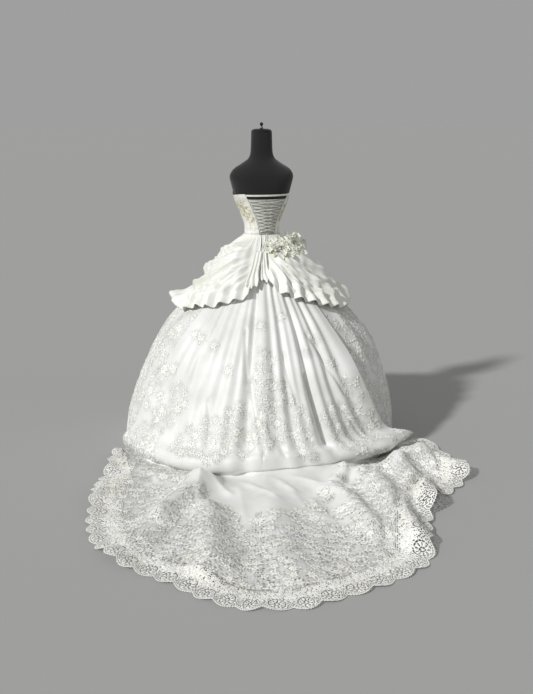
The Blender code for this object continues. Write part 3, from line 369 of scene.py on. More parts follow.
# The form and the bodice. A section of the form is an ellipse whose depth differs behind and in front;
# a layer over it is moved out square to that ellipse, and two bells in front are the cups.
torso = table(
    "height side back front",
    (0.780, 0.146, 0.118, 0.110), (0.860, 0.152, 0.122, 0.114), (0.930, 0.142, 0.116, 0.106),
    (1.000, 0.106, 0.094, 0.086), (1.052, 0.0835, 0.0790, 0.0765), (1.090, 0.0840, 0.0785, 0.0780),
    (1.145, 0.1000, 0.0850, 0.0900), (1.200, 0.1230, 0.0930, 0.1020), (1.250, 0.1430, 0.0990, 0.1080),
    (1.300, 0.1580, 0.1030, 0.1020), (1.340, 0.1680, 0.0990, 0.0880), (1.375, 0.1500, 0.0840, 0.0700),
    (1.405, 0.1020, 0.0660, 0.0560), (1.430, 0.0660, 0.0540, 0.0500), (1.460, 0.0560, 0.0500, 0.0480),
    (1.560, 0.0520, 0.0480, 0.0470),
)
neckline = table(
    "angle height",
    (0.0, 1.256), (50.0, 1.256), (78.0, 1.252), (100.0, 1.249), (122.0, 1.262), (142.0, 1.292), (160.0, 1.284),
    (180.0, 1.264),
)
bodiceSeams = table(
    "top waist",
    (50.0, 27.0), (74.0, 56.0), (100.0, 96.0), (143.0, 146.0),
)
cup = {"angle": 142.0, "height": 1.245, "width": 0.052, "rise": 0.020, "formRise": 0.011}
bodice = {"lift": 0.0044, "bottom": 1.052, "waistRadius": 0.085, "openingRadius": 0.095, "columns": 26, "rows": 50,
          "bone": 0.0007, "boneWidth": 1.6, "boneInset": 2.2, "pipe": 0.0013, "pipeWidth": 0.0022, "hemWidth": 0.002,
          "pull": 0.0006}


def torsoPoint(angle, height, lift=0.0, cupRise=None):
    turn = np.radians(angle)
    side = columnAt(torso, "side", "height", height)
    depth = np.where(np.cos(turn) > 0, columnAt(torso, "back", "height", height),
                     columnAt(torso, "front", "height", height))
    x, y = side * np.sin(turn), -depth * np.cos(turn)
    normal = np.stack(np.broadcast_arrays(x / side**2, y / depth**2), -1)
    normal = normal / np.linalg.norm(normal, axis=-1, keepdims=True)
    fromCup = (np.abs(np.abs(angle) - cup["angle"]) * math.pi / 180 * side) ** 2 + (height - cup["height"]) ** 2
    rise = cup["rise"] if cupRise is None else cupRise
    out = lift + rise * np.exp(-fromCup / cup["width"] ** 2)
    return np.stack(np.broadcast_arrays(x + out * normal[..., 0], y + out * normal[..., 1], height), -1)


def signedAngle(angle):
    return np.where(angle > 180, angle - 360, angle)


formSteps = {"columns": 72, "rows": 64, "top": 1.56, "bottom": 0.78,
             "seamDepth": 0.0008, "seamWidth": 1.3}
angles = np.linspace(0, 360, formSteps["columns"], endpoint=False)[:, None]
levels = np.linspace(formSteps["top"], formSteps["bottom"], formSteps["rows"])[None, :]
seamLine = sum(np.exp(-((signedAngle(np.abs(signedAngle(angles) - at)) / formSteps["seamWidth"]) ** 2))
               for at in (-180.0, -90.0, 0.0, 90.0, 180.0))
shape = torsoPoint(signedAngle(angles) + 0 * levels, levels + 0 * angles, -formSteps["seamDepth"] * seamLine,
                   cup["formRise"])
body = quadsOf(*shape.shape[:2], closed=True)
grid = np.arange(shape.shape[0] * shape.shape[1]).reshape(shape.shape[:2])
middle = np.array([[0, 0, formSteps["top"]], [0, 0, formSteps["bottom"]]])
count = shape.shape[0] * shape.shape[1]
after = np.roll(np.arange(shape.shape[0]), -1)
caps = np.vstack([np.stack([grid[:, 0], grid[after, 0], np.full(len(grid), count), np.full(len(grid), count)], -1),
                  np.stack([grid[after, -1], grid[:, -1], np.full(len(grid), count + 1),
                            np.full(len(grid), count + 1)], -1)])
sizes = np.stack([np.broadcast_to(np.radians(angles) * 0.13, shape.shape[:2]), shape[..., 2]], -1).reshape(-1, 2)
faceCorners = [tuple(f) for f in body] + [tuple(dict.fromkeys(f.tolist())) for f in caps]
mesh = bpy.data.meshes.new("form_body")
mesh.from_pydata(np.vstack([shape.reshape(-1, 3), middle]).tolist(), [], [list(map(int, f)) for f in faceCorners])
uvLayer = mesh.uv_layers.new(name="cloth")
corner = np.zeros(len(mesh.loops), dtype=np.int32)
mesh.loops.foreach_get("vertex_index", corner)
uvLayer.uv.foreach_set("vector", np.vstack([sizes, [[0, 0], [0, 0]]])[corner].astype(np.float32).ravel())
mesh.shade_smooth()
mesh.materials.append(blackJersey)
formBody = bpy.data.objects.new("form_body", mesh)
bpy.context.scene.collection.objects.link(formBody)
formEdge = formBody.modifiers.new("edge", "EDGE_SPLIT")
formEdge.split_angle = math.radians(55)
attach(formBody, "root")
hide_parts("form_torso")
print("form made")


def seamAngle(index, height):
    share = np.clip((height - bodice["bottom"]) / (neckline["height"][0] - bodice["bottom"]), 0, 1)
    return bodiceSeams["waist"][index] + (bodiceSeams["top"][index] - bodiceSeams["waist"][index]) * share


def bodicePanel(name, start, end, side):
    # between two seams: boned and piped along both, with faint pulls across where it is tight over the waist
    share = np.linspace(0, 1, bodice["columns"] + 1)[:, None]
    down = np.linspace(0, 1, bodice["rows"] + 1)[None, :]

    def span(height):
        first = seamAngle(start, height)
        last = 360 - first if end is None else seamAngle(end, height)
        inset = math.degrees(seam["bodiceGap"] / 2 / bodice["waistRadius"])
        return first + inset + (last - first - 2 * inset) * share

    guess = span(np.full((1, 1), 1.22))
    top = columnAt(neckline, "height", "angle", np.where(guess > 180, 360 - guess, guess))
    height = top + (bodice["bottom"] - top) * down
    angle = span(height)
    edge = np.minimum(share, 1 - share) * (angle[-1:] - angle[:1])
    bones = bodice["bone"] * np.exp(-((edge - bodice["boneInset"]) / bodice["boneWidth"]) ** 2)
    pipe = bodice["pipe"] * np.exp(-((top - height) / bodice["pipeWidth"]) ** 2)
    pulls = bodice["pull"] * softNoise(angle / 9, height * 190, 11 + start) * ease(0, 6, edge) * ease(0, 0.3, down)
    hemPipe = bodice["pipe"] * 0.6 * np.exp(-((height - bodice["bottom"]) / bodice["hemWidth"]) ** 2)
    if side < 0:
        angle, height, bones, pipe, pulls, hemPipe = (-angle[::-1], height[::-1], bones[::-1], pipe[::-1],
                                                      pulls[::-1], hemPipe[::-1])
    grid = torsoPoint(signedAngle(angle), height, bodice["lift"] - 0.0004 + bones + pipe + pulls + hemPipe)
    piece = clothPiece(name + "_cloth", grid, duchessSatin, 0.0009)
    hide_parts(name)
    return grid


panels = {}
for side, word in ((-1, "left"), (1, "right")):
    panels["back" + word] = bodicePanel(f"bodice_back_{word}", 0, 1, side)
    panels["sideBack" + word] = bodicePanel(f"bodice_side_back_{word}", 1, 2, side)
    panels["sideFront" + word] = bodicePanel(f"bodice_side_front_{word}", 2, 3, side)
panels["front"] = bodicePanel("bodice_front", 3, None, 0)

# Lacing: a lace panel behind, a row of loops on each back edge, two strands that cross, a ribbon over the top.
lacing = {"loops": 10, "reach": 0.0065, "loopCord": 0.0012, "loopLift": 0.0002, "cord": 0.0015, "crossing": 0.0008,
          "top": 1.232, "bottom": 1.062, "ribbonDrop": 0.011, "panelLift": 0.0018, "panelTuck": 5.0}
height = np.linspace(lacing["top"] - 0.002, bodice["bottom"], 44)[None, :]
angle = np.linspace(-1, 1, 41)[:, None] * (seamAngle(0, height) + lacing["panelTuck"])
modestyGrid = torsoPoint(angle, height, lacing["panelLift"])
modesty = clothPiece("modesty_lace", modestyGrid, modestyLace, 0.0006)
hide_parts("modesty_panel")

spacing = (lacing["top"] - lacing["bottom"]) / lacing["loops"]
lift = bodice["lift"] + lacing["loopLift"]
wave = np.linspace(0, lacing["loops"], lacing["loops"] * 16 + 1)
height = lacing["top"] - spacing * wave
reach = seam["gap"] + lacing["loopCord"] + lacing["reach"] * (0.5 - 0.5 * np.cos(2 * math.pi * wave))
for side, word in ((-1, "left"), (1, "right")):
    angle = side * (seamAngle(0, height) - np.degrees(reach / bodice["openingRadius"]))
    loops = tubePiece(f"lacing_loops_{word}", torsoPoint(angle, height, lift), lacing["loopCord"] * 0.9, ratTail,
                      8)
    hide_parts(f"loop_tape_{word}")

over = lift + lacing["loopCord"] + seam["gap"] + lacing["cord"]
legs = lacing["loops"] - 1
walk = np.linspace(0, legs, legs * 16 + 1)
height = lacing["top"] - spacing * (walk + 0.5)
inset = math.degrees((seam["gap"] + lacing["loopCord"] + lacing["reach"]) / bodice["openingRadius"])
across = 1 - 2 * np.abs(np.mod(walk, 2) - 1)
middleRise = np.exp(-((np.mod(walk, 1) - 0.5) / 0.22) ** 2) * (2 * lacing["cord"] + lacing["crossing"])
for first, word in ((-1, "left"), (1, "right")):
    angle = -first * across * (seamAngle(0, height) - inset)
    rise = np.where(np.floor(walk) % 2 == (first > 0), middleRise, 0.0)
    strand = tubePiece(f"lacing_cord_{word}", torsoPoint(angle, height, over + rise), lacing["cord"] * 0.94, ratTail,
                       10)
    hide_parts(f"lacing_strand_{word}")

top = neckline["height"][0]
down = np.linspace(0, 1, 13)[None, :]
height = top - 0.002 - (lacing["ribbonDrop"] - 0.002) * down
angle = np.linspace(-1, 1, 61)[:, None] * (seamAngle(0, height) - math.degrees(seam["gap"] / bodice["openingRadius"]))
doubled = -0.0007 * np.exp(-((down - 0.5) / 0.08) ** 2) + 0.0002 * np.cos(angle / 3)
ribbonGrid = torsoPoint(angle, height, bodice["lift"] - 0.0002 + doubled)
ribbon = clothPiece("lacing_ribbon", ribbonGrid, duchessSatin, 0.0008)
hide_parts("lacing_top_ribbon")
print("bodice and lacing made")

# The ball skirt: half-width and depth by height on a smooth section, drawn in by flutes behind.
ballSizes = table(
    "height left right back front",
    (1.0515, 0.0865, 0.0865, 0.0865, 0.0865), (1.025, 0.108, 0.111, 0.110, 0.106),
    (0.985, 0.152, 0.158, 0.158, 0.150), (0.930, 0.205, 0.212, 0.213, 0.205), (0.870, 0.252, 0.260, 0.262, 0.252),
    (0.800, 0.300, 0.310, 0.318, 0.305), (0.720, 0.382, 0.394, 0.402, 0.386), (0.620, 0.483, 0.494, 0.490, 0.470),
    (0.500, 0.560, 0.584, 0.566, 0.545), (0.380, 0.613, 0.630, 0.613, 0.595), (0.260, 0.660, 0.662, 0.652, 0.635),
    (0.140, 0.697, 0.680, 0.684, 0.660), (0.060, 0.712, 0.688, 0.700, 0.672), (0.004, 0.722, 0.700, 0.712, 0.684),
)
backEdges = table(
    "height left right",
    (0.0, -68.0, 72.0), (0.10, -65.0, 60.0), (0.30, -61.0, 50.5), (0.45, -54.0, 46.5), (0.70, -46.0, 44.0),
    (1.06, -40.0, 40.0),
)
flutes = table(
    "share upper lower width",
    (-0.85, 0.004, 0.016, 0.045), (-0.73, 0.006, 0.014, 0.050), (-0.60, 0.008, 0.018, 0.060),
    (-0.44, 0.006, 0.012, 0.050), (-0.34, 0.010, 0.020, 0.055), (-0.21, 0.006, 0.014, 0.040),
    (-0.10, 0.022, 0.042, 0.050), (0.12, 0.008, 0.018, 0.045), (0.24, 0.014, 0.026, 0.045),
    (0.34, 0.006, 0.014, 0.040), (0.46, 0.020, 0.038, 0.050), (0.58, 0.008, 0.016, 0.040),
    (0.68, 0.016, 0.024, 0.045), (0.83, 0.010, 0.018, 0.050),
)
foot = table(
    "angle bulge bulge_height tuck tuck_height roll roll_rise",
    (-90.0, 0.752, 0.070, 0.732, 0.010, 0.80, 0.004), (-60.0, 0.760, 0.060, 0.732, 0.010, 0.82, 0.010),
    (-32.0, 0.762, 0.055, 0.722, 0.010, 0.84, 0.020), (-12.0, 0.752, 0.062, 0.716, 0.014, 0.80, 0.038),
    (0.0, 0.722, 0.075, 0.710, 0.036, 0.78, 0.062), (15.0, 0.716, 0.080, 0.708, 0.044, 0.785, 0.072),
    (28.0, 0.722, 0.080, 0.708, 0.040, 0.81, 0.066), (42.0, 0.768, 0.084, 0.712, 0.024, 0.87, 0.040),
    (55.0, 0.812, 0.090, 0.722, 0.014, 0.92, 0.046), (68.0, 0.820, 0.100, 0.724, 0.010, 0.90, 0.030),
    (82.0, 0.760, 0.080, 0.720, 0.010, 0.82, 0.004),
)
footSweep, footReach, footLevel = (0.35, 0.6, 0.85, 1.0), (0.75, 1.0, 0.7, 0.0), (0.030, 0.0, -0.028, 0.0)
trainFolds = table(
    "x0 y0 x1 y1 width rise",
    (-0.250, -0.780, -0.400, -1.160, 0.070, 0.062), (-0.225, -1.120, -0.190, -1.640, 0.075, 0.050),
    (-0.420, -1.250, -0.560, -1.560, 0.080, 0.030), (-0.620, -0.760, -0.800, -1.040, 0.080, 0.028),
    (0.020, -0.960, 0.120, -1.640, 0.090, 0.030), (0.330, -0.900, 0.440, -1.300, 0.060, 0.052),
    (0.505, -0.800, 0.600, -1.420, 0.070, 0.074), (0.640, -0.640, 0.740, -1.080, 0.065, 0.076),
    (0.690, -0.460, 0.930, -0.660, 0.078, 0.062), (-0.720, -0.420, -0.740, -0.560, 0.060, 0.030),
)
# Lesser creases of the train, pressed in: both ends, half width and rise.
trainCreases = table(
    "x0 y0 x1 y1 width rise",
    (-0.10, -0.86, -0.06, -1.30, 0.022, 0.007), (-0.33, -1.02, -0.50, -1.10, 0.020, 0.008),
    (-0.48, -0.84, -0.66, -0.98, 0.024, 0.009), (0.14, -0.92, 0.30, -1.34, 0.022, 0.008),
    (0.24, -0.84, 0.36, -1.02, 0.018, 0.009), (0.40, -1.02, 0.46, -1.52, 0.022, 0.007),
    (-0.30, -1.34, -0.36, -1.62, 0.024, 0.008), (0.06, -1.20, -0.02, -1.72, 0.026, 0.007),
    (0.56, -0.94, 0.74, -0.86, 0.020, 0.010), (-0.60, -1.16, -0.74, -1.26, 0.022, 0.008),
    (0.24, -1.30, 0.20, -1.76, 0.024, 0.006), (-0.12, -1.44, -0.10, -1.86, 0.022, 0.006),
    (-0.29, -0.74, -0.43, -0.98, 0.018, 0.016), (-0.28, -0.75, -0.27, -1.02, 0.016, 0.014),
    (-0.27, -0.74, -0.14, -0.92, 0.016, 0.012), (-0.10, -0.76, 0.06, -1.00, 0.015, 0.012),
    (0.04, -0.74, 0.14, -0.90, 0.014, 0.012), (0.12, -0.74, 0.30, -0.86, 0.015, 0.014),
    (0.32, -0.78, 0.48, -0.92, 0.016, 0.015), (-0.46, -0.72, -0.62, -0.80, 0.018, 0.012),
    (0.22, -0.98, 0.27, -1.20, 0.016, 0.012), (-0.20, -1.04, -0.30, -1.28, 0.018, 0.010),
)
# Creases of the ball behind, where its flutes are caught under: both ends, half width and rise, below nought in.
ballCreases = table(
    "angle0 height0 angle1 height1 width rise",
    (-5.0, 0.430, 0.5, 0.130, 0.010, -0.020), (3.0, 0.235, 13.0, 0.040, 0.011, -0.022),
    (20.5, 0.450, 29.0, 0.035, 0.011, -0.018), (-16.0, 0.110, -34.0, 0.062, 0.013, -0.012),
    (-12.0, 0.085, 2.0, 0.120, 0.014, 0.012), (8.0, 0.070, 40.0, 0.048, 0.014, 0.012),
    (-36.0, 0.090, -52.0, 0.150, 0.014, -0.010), (36.0, 0.300, 46.0, 0.090, 0.011, -0.012),
    (-24.0, 0.330, -20.0, 0.120, 0.010, -0.008), (11.0, 0.560, 15.0, 0.330, 0.009, -0.010),
    (-9.0, 0.640, -7.0, 0.420, 0.009, -0.009), (27.0, 0.620, 38.0, 0.360, 0.010, -0.010),
)
trainHem = table(
    "angle radius",
    (-68.0, 0.788), (-62.0, 0.812), (-57.0, 0.865), (-50.0, 0.956), (-43.6, 1.077), (-34.3, 1.295), (-28.8, 1.456),
    (-24.0, 1.583), (-17.9, 1.701), (-13.4, 1.746), (-9.1, 1.814), (-5.4, 1.894), (-1.2, 1.942), (3.8, 1.940),
    (8.2, 1.886), (13.2, 1.828), (16.9, 1.780), (21.7, 1.700), (25.6, 1.540), (30.1, 1.385), (38.7, 1.245),
    (53.8, 1.180), (62.6, 1.060), (72.0, 0.910), (80.0, 0.820),
)
ball = {"backLift": 0.006, "overskirtLift": 0.013, "lap": 3.0, "frontSeam": 132.0, "edgeRaise": 0.030,
        "sideFlutes": 5, "frontFlutes": 7, "plainDepth": 0.013, "hipRadius": 0.20, "rollWidth": 0.052,
        "pleat": 0.0016, "crumple": 0.0016, "lump": 0.008, "lumpAngle": 9.0, "turnRows": 7.0, "turnPasses": 40}
border = {"width": 0.14, "endWidth": 0.03, "scallops": 42, "depth": 0.022, "corners": 35}


def ballSection(angle, row):
    turn = np.radians(angle)
    left, right, back, front = (columnAt(ballSizes, name, "row", row) for name in ("left", "right", "back", "front"))
    side = np.where(np.sin(turn) < 0, left, right)
    along = np.where(np.cos(turn) > 0, back, front)
    share = np.sin(turn) ** 2
    return side * share + along * (1 - share), columnAt(ballSizes, "height", "row", row)


def ballPoint(angle, row, out):
    # moved out square to the profile: the profile's own slope turned by a quarter
    angle, row, out = np.broadcast_arrays(angle, row, out)
    radius, height = ballSection(angle, row)
    radiusLow, heightLow = ballSection(angle, np.minimum(row + 0.15, ballSizes["row"][-1]))
    radiusHigh, heightHigh = ballSection(angle, np.maximum(row - 0.15, 0))
    run, fall = radiusLow - radiusHigh, heightHigh - heightLow
    length = np.hypot(run, fall)
    return polar(angle, radius + out * fall / length, height + out * run / length)


def ballRow(height):
    return np.interp(-np.asarray(height), -ballSizes["height"], ballSizes["row"])


def layerLift(lift, row):
    return lift * (0.4 + 0.6 * ease(0, 2, row))


def floorHeight(points, creased=True):
    # the cloth's height over the floor: a roll before the ball's foot, then one bell for each fold
    angle = np.degrees(np.arctan2(points[..., 0], -points[..., 1]))
    radius = np.hypot(points[..., 0], points[..., 1])
    roll = columnAt(foot, "roll_rise", "angle", angle) * np.exp(
        -((radius - columnAt(foot, "roll", "angle", angle)) / ball["rollWidth"]) ** 2)
    height = seam["wall"] + seam["floor"] + roll
    for folds in (trainFolds, trainCreases)[:2 if creased else 1]:
        for i in range(len(folds["row"])):
            line = np.array([(folds["x0"][i], folds["y0"][i]), (folds["x1"][i], folds["y1"][i])])
            height = height + folds["rise"][i] * crest(points[..., :2], line, folds["width"][i],
                                                       sharp=folds is trainCreases)
    return height


def hemLine(share):
    # by length along the hem, from -1 at its left end to 1 at its right, and the way out across it
    angle = np.linspace(trainHem["angle"][0], trainHem["angle"][-1], 721)
    line = polar(angle, columnAt(trainHem, "radius", "angle", angle), 0)[:, :2]
    length = np.concatenate([[0], np.cumsum(np.linalg.norm(np.diff(line, axis=0), axis=1))])
    at = np.interp(share, (-1, 0, 1), (0, np.interp(0, angle, length), length[-1]))
    point, ahead, behind = (np.stack([np.interp(at + shift, length, line[:, k]) for k in (0, 1)], -1)
                            for shift in (0, 0.04, -0.04))
    out = np.stack([(ahead - behind)[..., 1], -(ahead - behind)[..., 0]], -1)
    return point, out / np.linalg.norm(out, axis=-1, keepdims=True)


def borderWidth(share):
    return border["endWidth"] + (border["width"] - border["endWidth"]) * ease(0, 0.22, 1 - np.abs(share))


def seamLineOf(share):
    # the border's seam runs straight between the train's corners
    corners = np.linspace(-1, 1, border["corners"])
    point, out = hemLine(corners)
    line = point - out * borderWidth(corners)[:, None]
    height = floorHeight(line, creased=False)
    return np.stack([np.interp(share, corners, line[:, k]) for k in (0, 1)]
                    + [np.interp(share, corners, height)], -1)


def backFlute(share, row):
    depth, low = 0.0, ease(5, 10, row)
    for i in range(len(flutes["row"])):
        bell = np.exp(-((share - flutes["share"][i]) / flutes["width"][i]) ** 2)
        depth = depth + bell * (flutes["upper"][i] * (1 - low) + flutes["lower"][i] * low)
    return depth * ease(2.5, 6.5, row)


def finePleats(angle, row):
    # gathers run down from the waist, each a little different, and fade in the full part of the ball
    pleat = np.sin(np.radians(angle) * 46 + 2.2 * np.sin(np.radians(angle) * 11)) * (0.6 + 0.4 * np.sin(angle / 7.3))
    return -ball["pleat"] * (1 - pleat) * ease(0.3, 2.5, row) * (1 - 0.45 * ease(6, 12, row))


def lumps(angle, along, share):
    # soft swellings where the ball turns under, as a slow noise that is level at the free edges
    return ball["lump"] * softNoise(angle / ball["lumpAngle"], along, 17) * ease(1.0, 0.9, np.abs(share))


def backGrid(share, count=200):
    # down the ball, over its foot, and out along the floor to the border
    share = share[:, None]
    rows = np.linspace(0, 11, 56)[None, :]
    height = columnAt(ballSizes, "height", "row", rows)
    edge = np.where(share < 0, -columnAt(backEdges, "left", "height", height),
                    columnAt(backEdges, "right", "height", height))
    angle = edge * share
    raised = ball["edgeRaise"] * ease(0.75, 1, share) * ease(6.5, 9, rows)
    pressed = 0.0
    for i in range(len(ballCreases["row"])):
        first, last, topEnd, lowEnd = (ballCreases[key][i] for key in ("angle0", "angle1", "height0", "height1"))
        way = np.linspace(0, 1, 7)
        line = ballPoint(first + (last - first) * way, ballRow(topEnd + (lowEnd - topEnd) * way), 0.0)
        pressed = pressed + ballCreases["rise"][i] * crest(ballPoint(angle, rows, 0.0), line,
                                                           ballCreases["width"][i])
    upper = ballPoint(angle, rows, layerLift(ball["backLift"], rows) - backFlute(share, rows) + raised
                      + finePleats(angle, rows) + pressed + lumps(angle, rows * 0.8, share) * ease(7.5, 10, rows))
    last = angle[:, -1:]
    lowEdge = np.where(share < 0, -backEdges["left"][0], backEdges["right"][0])
    footAngle = last + (lowEdge * share - last) * np.array(footSweep)[None, :]
    bulge, bulgeHeight, tuck, tuckHeight = (columnAt(foot, column, "angle", footAngle)
                                            for column in ("bulge", "bulge_height", "tuck", "tuck_height"))
    reach = np.array(footReach)
    radius = (tuck + (bulge - tuck) * reach - 0.5 * backFlute(share, ballSizes["row"][-3])
              + lumps(footAngle, 8.8 + reach, share))
    level = np.where(reach > 0, np.maximum(bulgeHeight + np.array(footLevel), tuckHeight), tuckHeight)
    over = polar(footAngle, radius, level)
    out = np.array([0.17, 0.25, 0.36, 0.46, 0.56, 0.67, 0.78, 0.89, 1.0])
    start, end = over[:, -1:, :2], seamLineOf(share)[..., :2]
    along = start + (end - start) * out[None, :, None]
    falling = tuckHeight[:, -1:] * (1 - ease(0, 0.3, out))[None, :]
    train = np.concatenate([along, np.maximum(floorHeight(along, creased=False), falling)[..., None]], -1)
    train[:, -1, 2] = seamLineOf(share)[:, 0, 2]
    grid = smoothRows(np.concatenate([upper, over, train], 1), count)
    # the turn under the ball's foot is soft: rows near it are drawn towards their neighbours
    reach = np.where(grid[..., 2] < 0.2, np.hypot(grid[..., 0], grid[..., 1]), 9.0)
    near = np.exp(-((np.arange(count)[None, :] - reach.argmin(1)[:, None]) / ball["turnRows"]) ** 2)[:, 1:-1, None]
    for _ in range(ball["turnPasses"]):
        grid[:, 1:-1] += 0.45 * near * ((grid[:, 2:] + grid[:, :-2]) / 2 - grid[:, 1:-1])
    flat = grid[..., 2] < 0.16
    lying = ease(0.74, 0.84, np.hypot(grid[..., 0], grid[..., 1])) * flat
    fade = ease(0, 0.03, 1 - np.linspace(0, 1, count))[None, :]
    crumple = ball["crumple"] * (1 + softNoise(grid[..., 0] * 34, grid[..., 1] * 34, 3))
    creases = floorHeight(grid[..., :2]) - floorHeight(grid[..., :2], creased=False)
    grid[..., 2] += (creases + crumple) * lying * fade
    grid[..., 2] = np.maximum(grid[..., 2], seam["wall"] + seam["floor"])
    return grid


def plainGrid(first, last, columns, fluteCount, seed):
    # hangs to the floor; flutes as a raised cosine, each a little deeper or shallower than the next
    rows = np.linspace(0, 13, 76)[None, :]
    height = columnAt(ballSizes, "height", "row", rows)
    share = np.linspace(0, 1, columns + 1)[:, None]
    angle = first(height) + (last(height) - first(height)) * share
    wave = 0.5 - 0.5 * np.cos(2 * math.pi * fluteCount * share)
    uneven = 0.9 + 0.2 * np.sin(share * 23 + seed)
    inside = ease(0, 0.06, share) * ease(0, 0.06, 1 - share)
    out = -ball["plainDepth"] * wave * uneven * ease(3, 8, rows) + finePleats(angle, rows) * inside
    points = ballPoint(angle, rows, out)
    points[..., 2] = np.maximum(points[..., 2], seam["wall"])
    return points


skirt = {}
for side, word in ((-1, "left"), (1, "right")):
    share = np.linspace(min(side, 0), max(side, 0), 97)
    skirt["back" + word] = swung(backGrid(share))


def backEdge(word, height):
    return columnAt(backEdges, word, "height", height)


inset = math.degrees(seam["gap"] / ball["hipRadius"])
near, far = ball["frontSeam"] - inset, ball["frontSeam"] + inset
skirt["sideleft"] = swung(plainGrid(lambda h: -near + 0 * h, lambda h: backEdge("left", h) + ball["lap"], 72,
                                    ball["sideFlutes"], 1.0))
skirt["sideright"] = swung(plainGrid(lambda h: backEdge("right", h) - ball["lap"], lambda h: near + 0 * h, 72,
                                     ball["sideFlutes"], 2.0))
skirt["front"] = swung(plainGrid(lambda h: far + 0 * h, lambda h: 360 - far + 0 * h, 88, ball["frontFlutes"], 3.0))
print("ball skirt worked out")


skirtPieces = {}
for word, node, top in (("backleft", "skirt_back_left", "bodice_back_left_cloth"),
                        ("backright", "skirt_back_right", "bodice_back_right_cloth"),
                        ("sideleft", "skirt_side_left", "bodice_side_back_left_cloth"),
                        ("sideright", "skirt_side_right", "bodice_side_back_right_cloth"),
                        ("front", "skirt_front", "bodice_front_cloth")):
    piece = clothPiece(node + "_cloth", skirt[word], sheerOrganza,
                       0 if word.startswith("back") else 0.0010)
    skirtPieces[word] = piece
    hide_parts(node)
# the two back gores meet without a step in their shading: both take their normals from the whole
outward = outwardOf(np.concatenate([skirt["backleft"], skirt["backright"][1:]]))
middle = len(skirt["backleft"]) - 1
for word, columns in (("backleft", slice(0, middle + 1)), ("backright", slice(middle, None))):
    skirtPieces[word].data.normals_split_custom_set_from_vertices(outward[columns].reshape(-1, 3).tolist())
print("ball skirt made")

# The lace border, worked as guipure: a pattern of thread in millimetres, positive where there is thread,
# kept on a fine grid whose edges are then drawn onto the pattern's own line. Each scallop holds one medallion,
# with flowers and leaves on net above it.
guipure = {"across": 48, "down": 54, "pitch": 107.0, "hole": 3.1, "medallion": 46.0, "bars": 12,
           "picots": 12, "picot": 3.4, "relief": 0.0018}


def roundHoles(x, y, pitch, hole):
    # how far outside the nearest hole of a staggered net
    def lattice(shiftX, shiftY):
        a = np.mod(x + shiftX, pitch) - pitch / 2
        b = np.mod(y + shiftY, pitch * 1.732) - pitch * 0.866
        return np.hypot(a, b)
    return np.minimum(lattice(0, 0), lattice(pitch / 2, pitch * 0.866)) - hole


def guipureThread(share, down, width):
    # share counts scallops along the hem, down runs from the seam at 0 to the edge at 1
    pitch = guipure["pitch"]
    x, tall = (np.mod(share, 1.0) - 0.5) * pitch, width * 1000
    y = (1 - down) * tall
    thread = roundHoles(share * pitch, y, pitch / 11, guipure["hole"])

    def near(cx):
        return np.mod(x - cx + pitch / 2, pitch) - pitch / 2

    def flower(cx, cy, size, petals, turn):
        # petals as a cosine round the heart, slit between them
        far, way = np.hypot(near(cx), y - cy), np.arctan2(y - cy, near(cx)) + turn
        outline = size * (0.72 + 0.28 * np.abs(np.cos(petals * way / 2)) ** 0.6) - far
        slits = np.abs(np.cos(petals * way / 2)) * far / petals * 2 - 0.9
        eye = np.abs(far - size * 0.30) - 1.1
        return np.minimum(outline, np.where(far < size * 0.24, 2.0, np.minimum(np.maximum(slits, -2), eye)))

    def leaf(cx, cy, turn, length, wide):
        # a lens with a slit along its midrib
        lx = near(cx) * math.cos(turn) + (y - cy) * math.sin(turn)
        ly = -near(cx) * math.sin(turn) + (y - cy) * math.cos(turn)
        slit = np.where(np.abs(lx) < length * 0.62, np.abs(ly) - 0.8, 2.0)
        return np.minimum(wide * (1 - (lx / length) ** 2) - np.abs(ly), slit)

    for cx, cy, size, petals, turn in ((53.5, 90, 22, 7, 0.3), (0.0, 104, 17, 6, 0.0), (53.5, 124, 12, 5, 0.5),
                                       (27.0, 124, 9, 5, 0.9), (-27.0, 124, 9, 5, 0.2)):
        thread = np.maximum(thread, flower(cx, cy, size, petals, turn))
    for cx, cy, turn, length in ((27, 92, 0.5, 15), (-27, 92, -0.5, 15), (24, 110, -0.7, 14), (-24, 110, 0.7, 14),
                                 (36, 66, 1.1, 14), (-36, 66, -1.1, 14), (53.5, 56, 1.57, 14)):
        thread = np.maximum(thread, leaf(cx, cy, turn, length, 5.4))
    # the medallion: hub, spokes, ring, petals with slits, a ring of bars and a rim
    far, way = np.hypot(x, (y - guipure["medallion"]) * 0.92), np.arctan2(y - guipure["medallion"], x)
    spokes = np.maximum(4.6 - far, 1.2 - np.abs(np.sin(3 * way)) * far / 3)
    petals = np.minimum(np.abs(np.sin(4.5 * way)) * far / 4.5 - 1.7, 25.0 - far)
    bars = 1.3 - np.abs(np.sin(7.5 * way)) * far / 7.5
    medallion = np.where(far < 12.0, spokes, np.where(far < 26.5, petals, bars))
    medallion = np.maximum(medallion, np.maximum(1.5 - np.abs(far - 13.0), 1.4 - np.abs(far - 27.0)))
    thread = np.where(far < 35, medallion, thread)
    thread = np.maximum(thread, 1.8 - np.abs(far - 35.0))
    # the seam's cord, and at the edge a cord, a row of bars, a second cord and picots
    thread = np.maximum(thread, 3.0 - (tall - y))
    bars = 1.4 - np.abs(np.mod(share * guipure["bars"], 1.0) - 0.5) * pitch / guipure["bars"]
    thread = np.where(y < 13.6, np.maximum(bars, 1.9 - np.minimum(np.abs(y - 13.2), np.abs(y - 4.9))), thread)
    tooth = guipure["picot"] * np.abs(np.sin(math.pi * share * guipure["picots"]))
    return np.where(y < 5.2, y - tooth, thread)


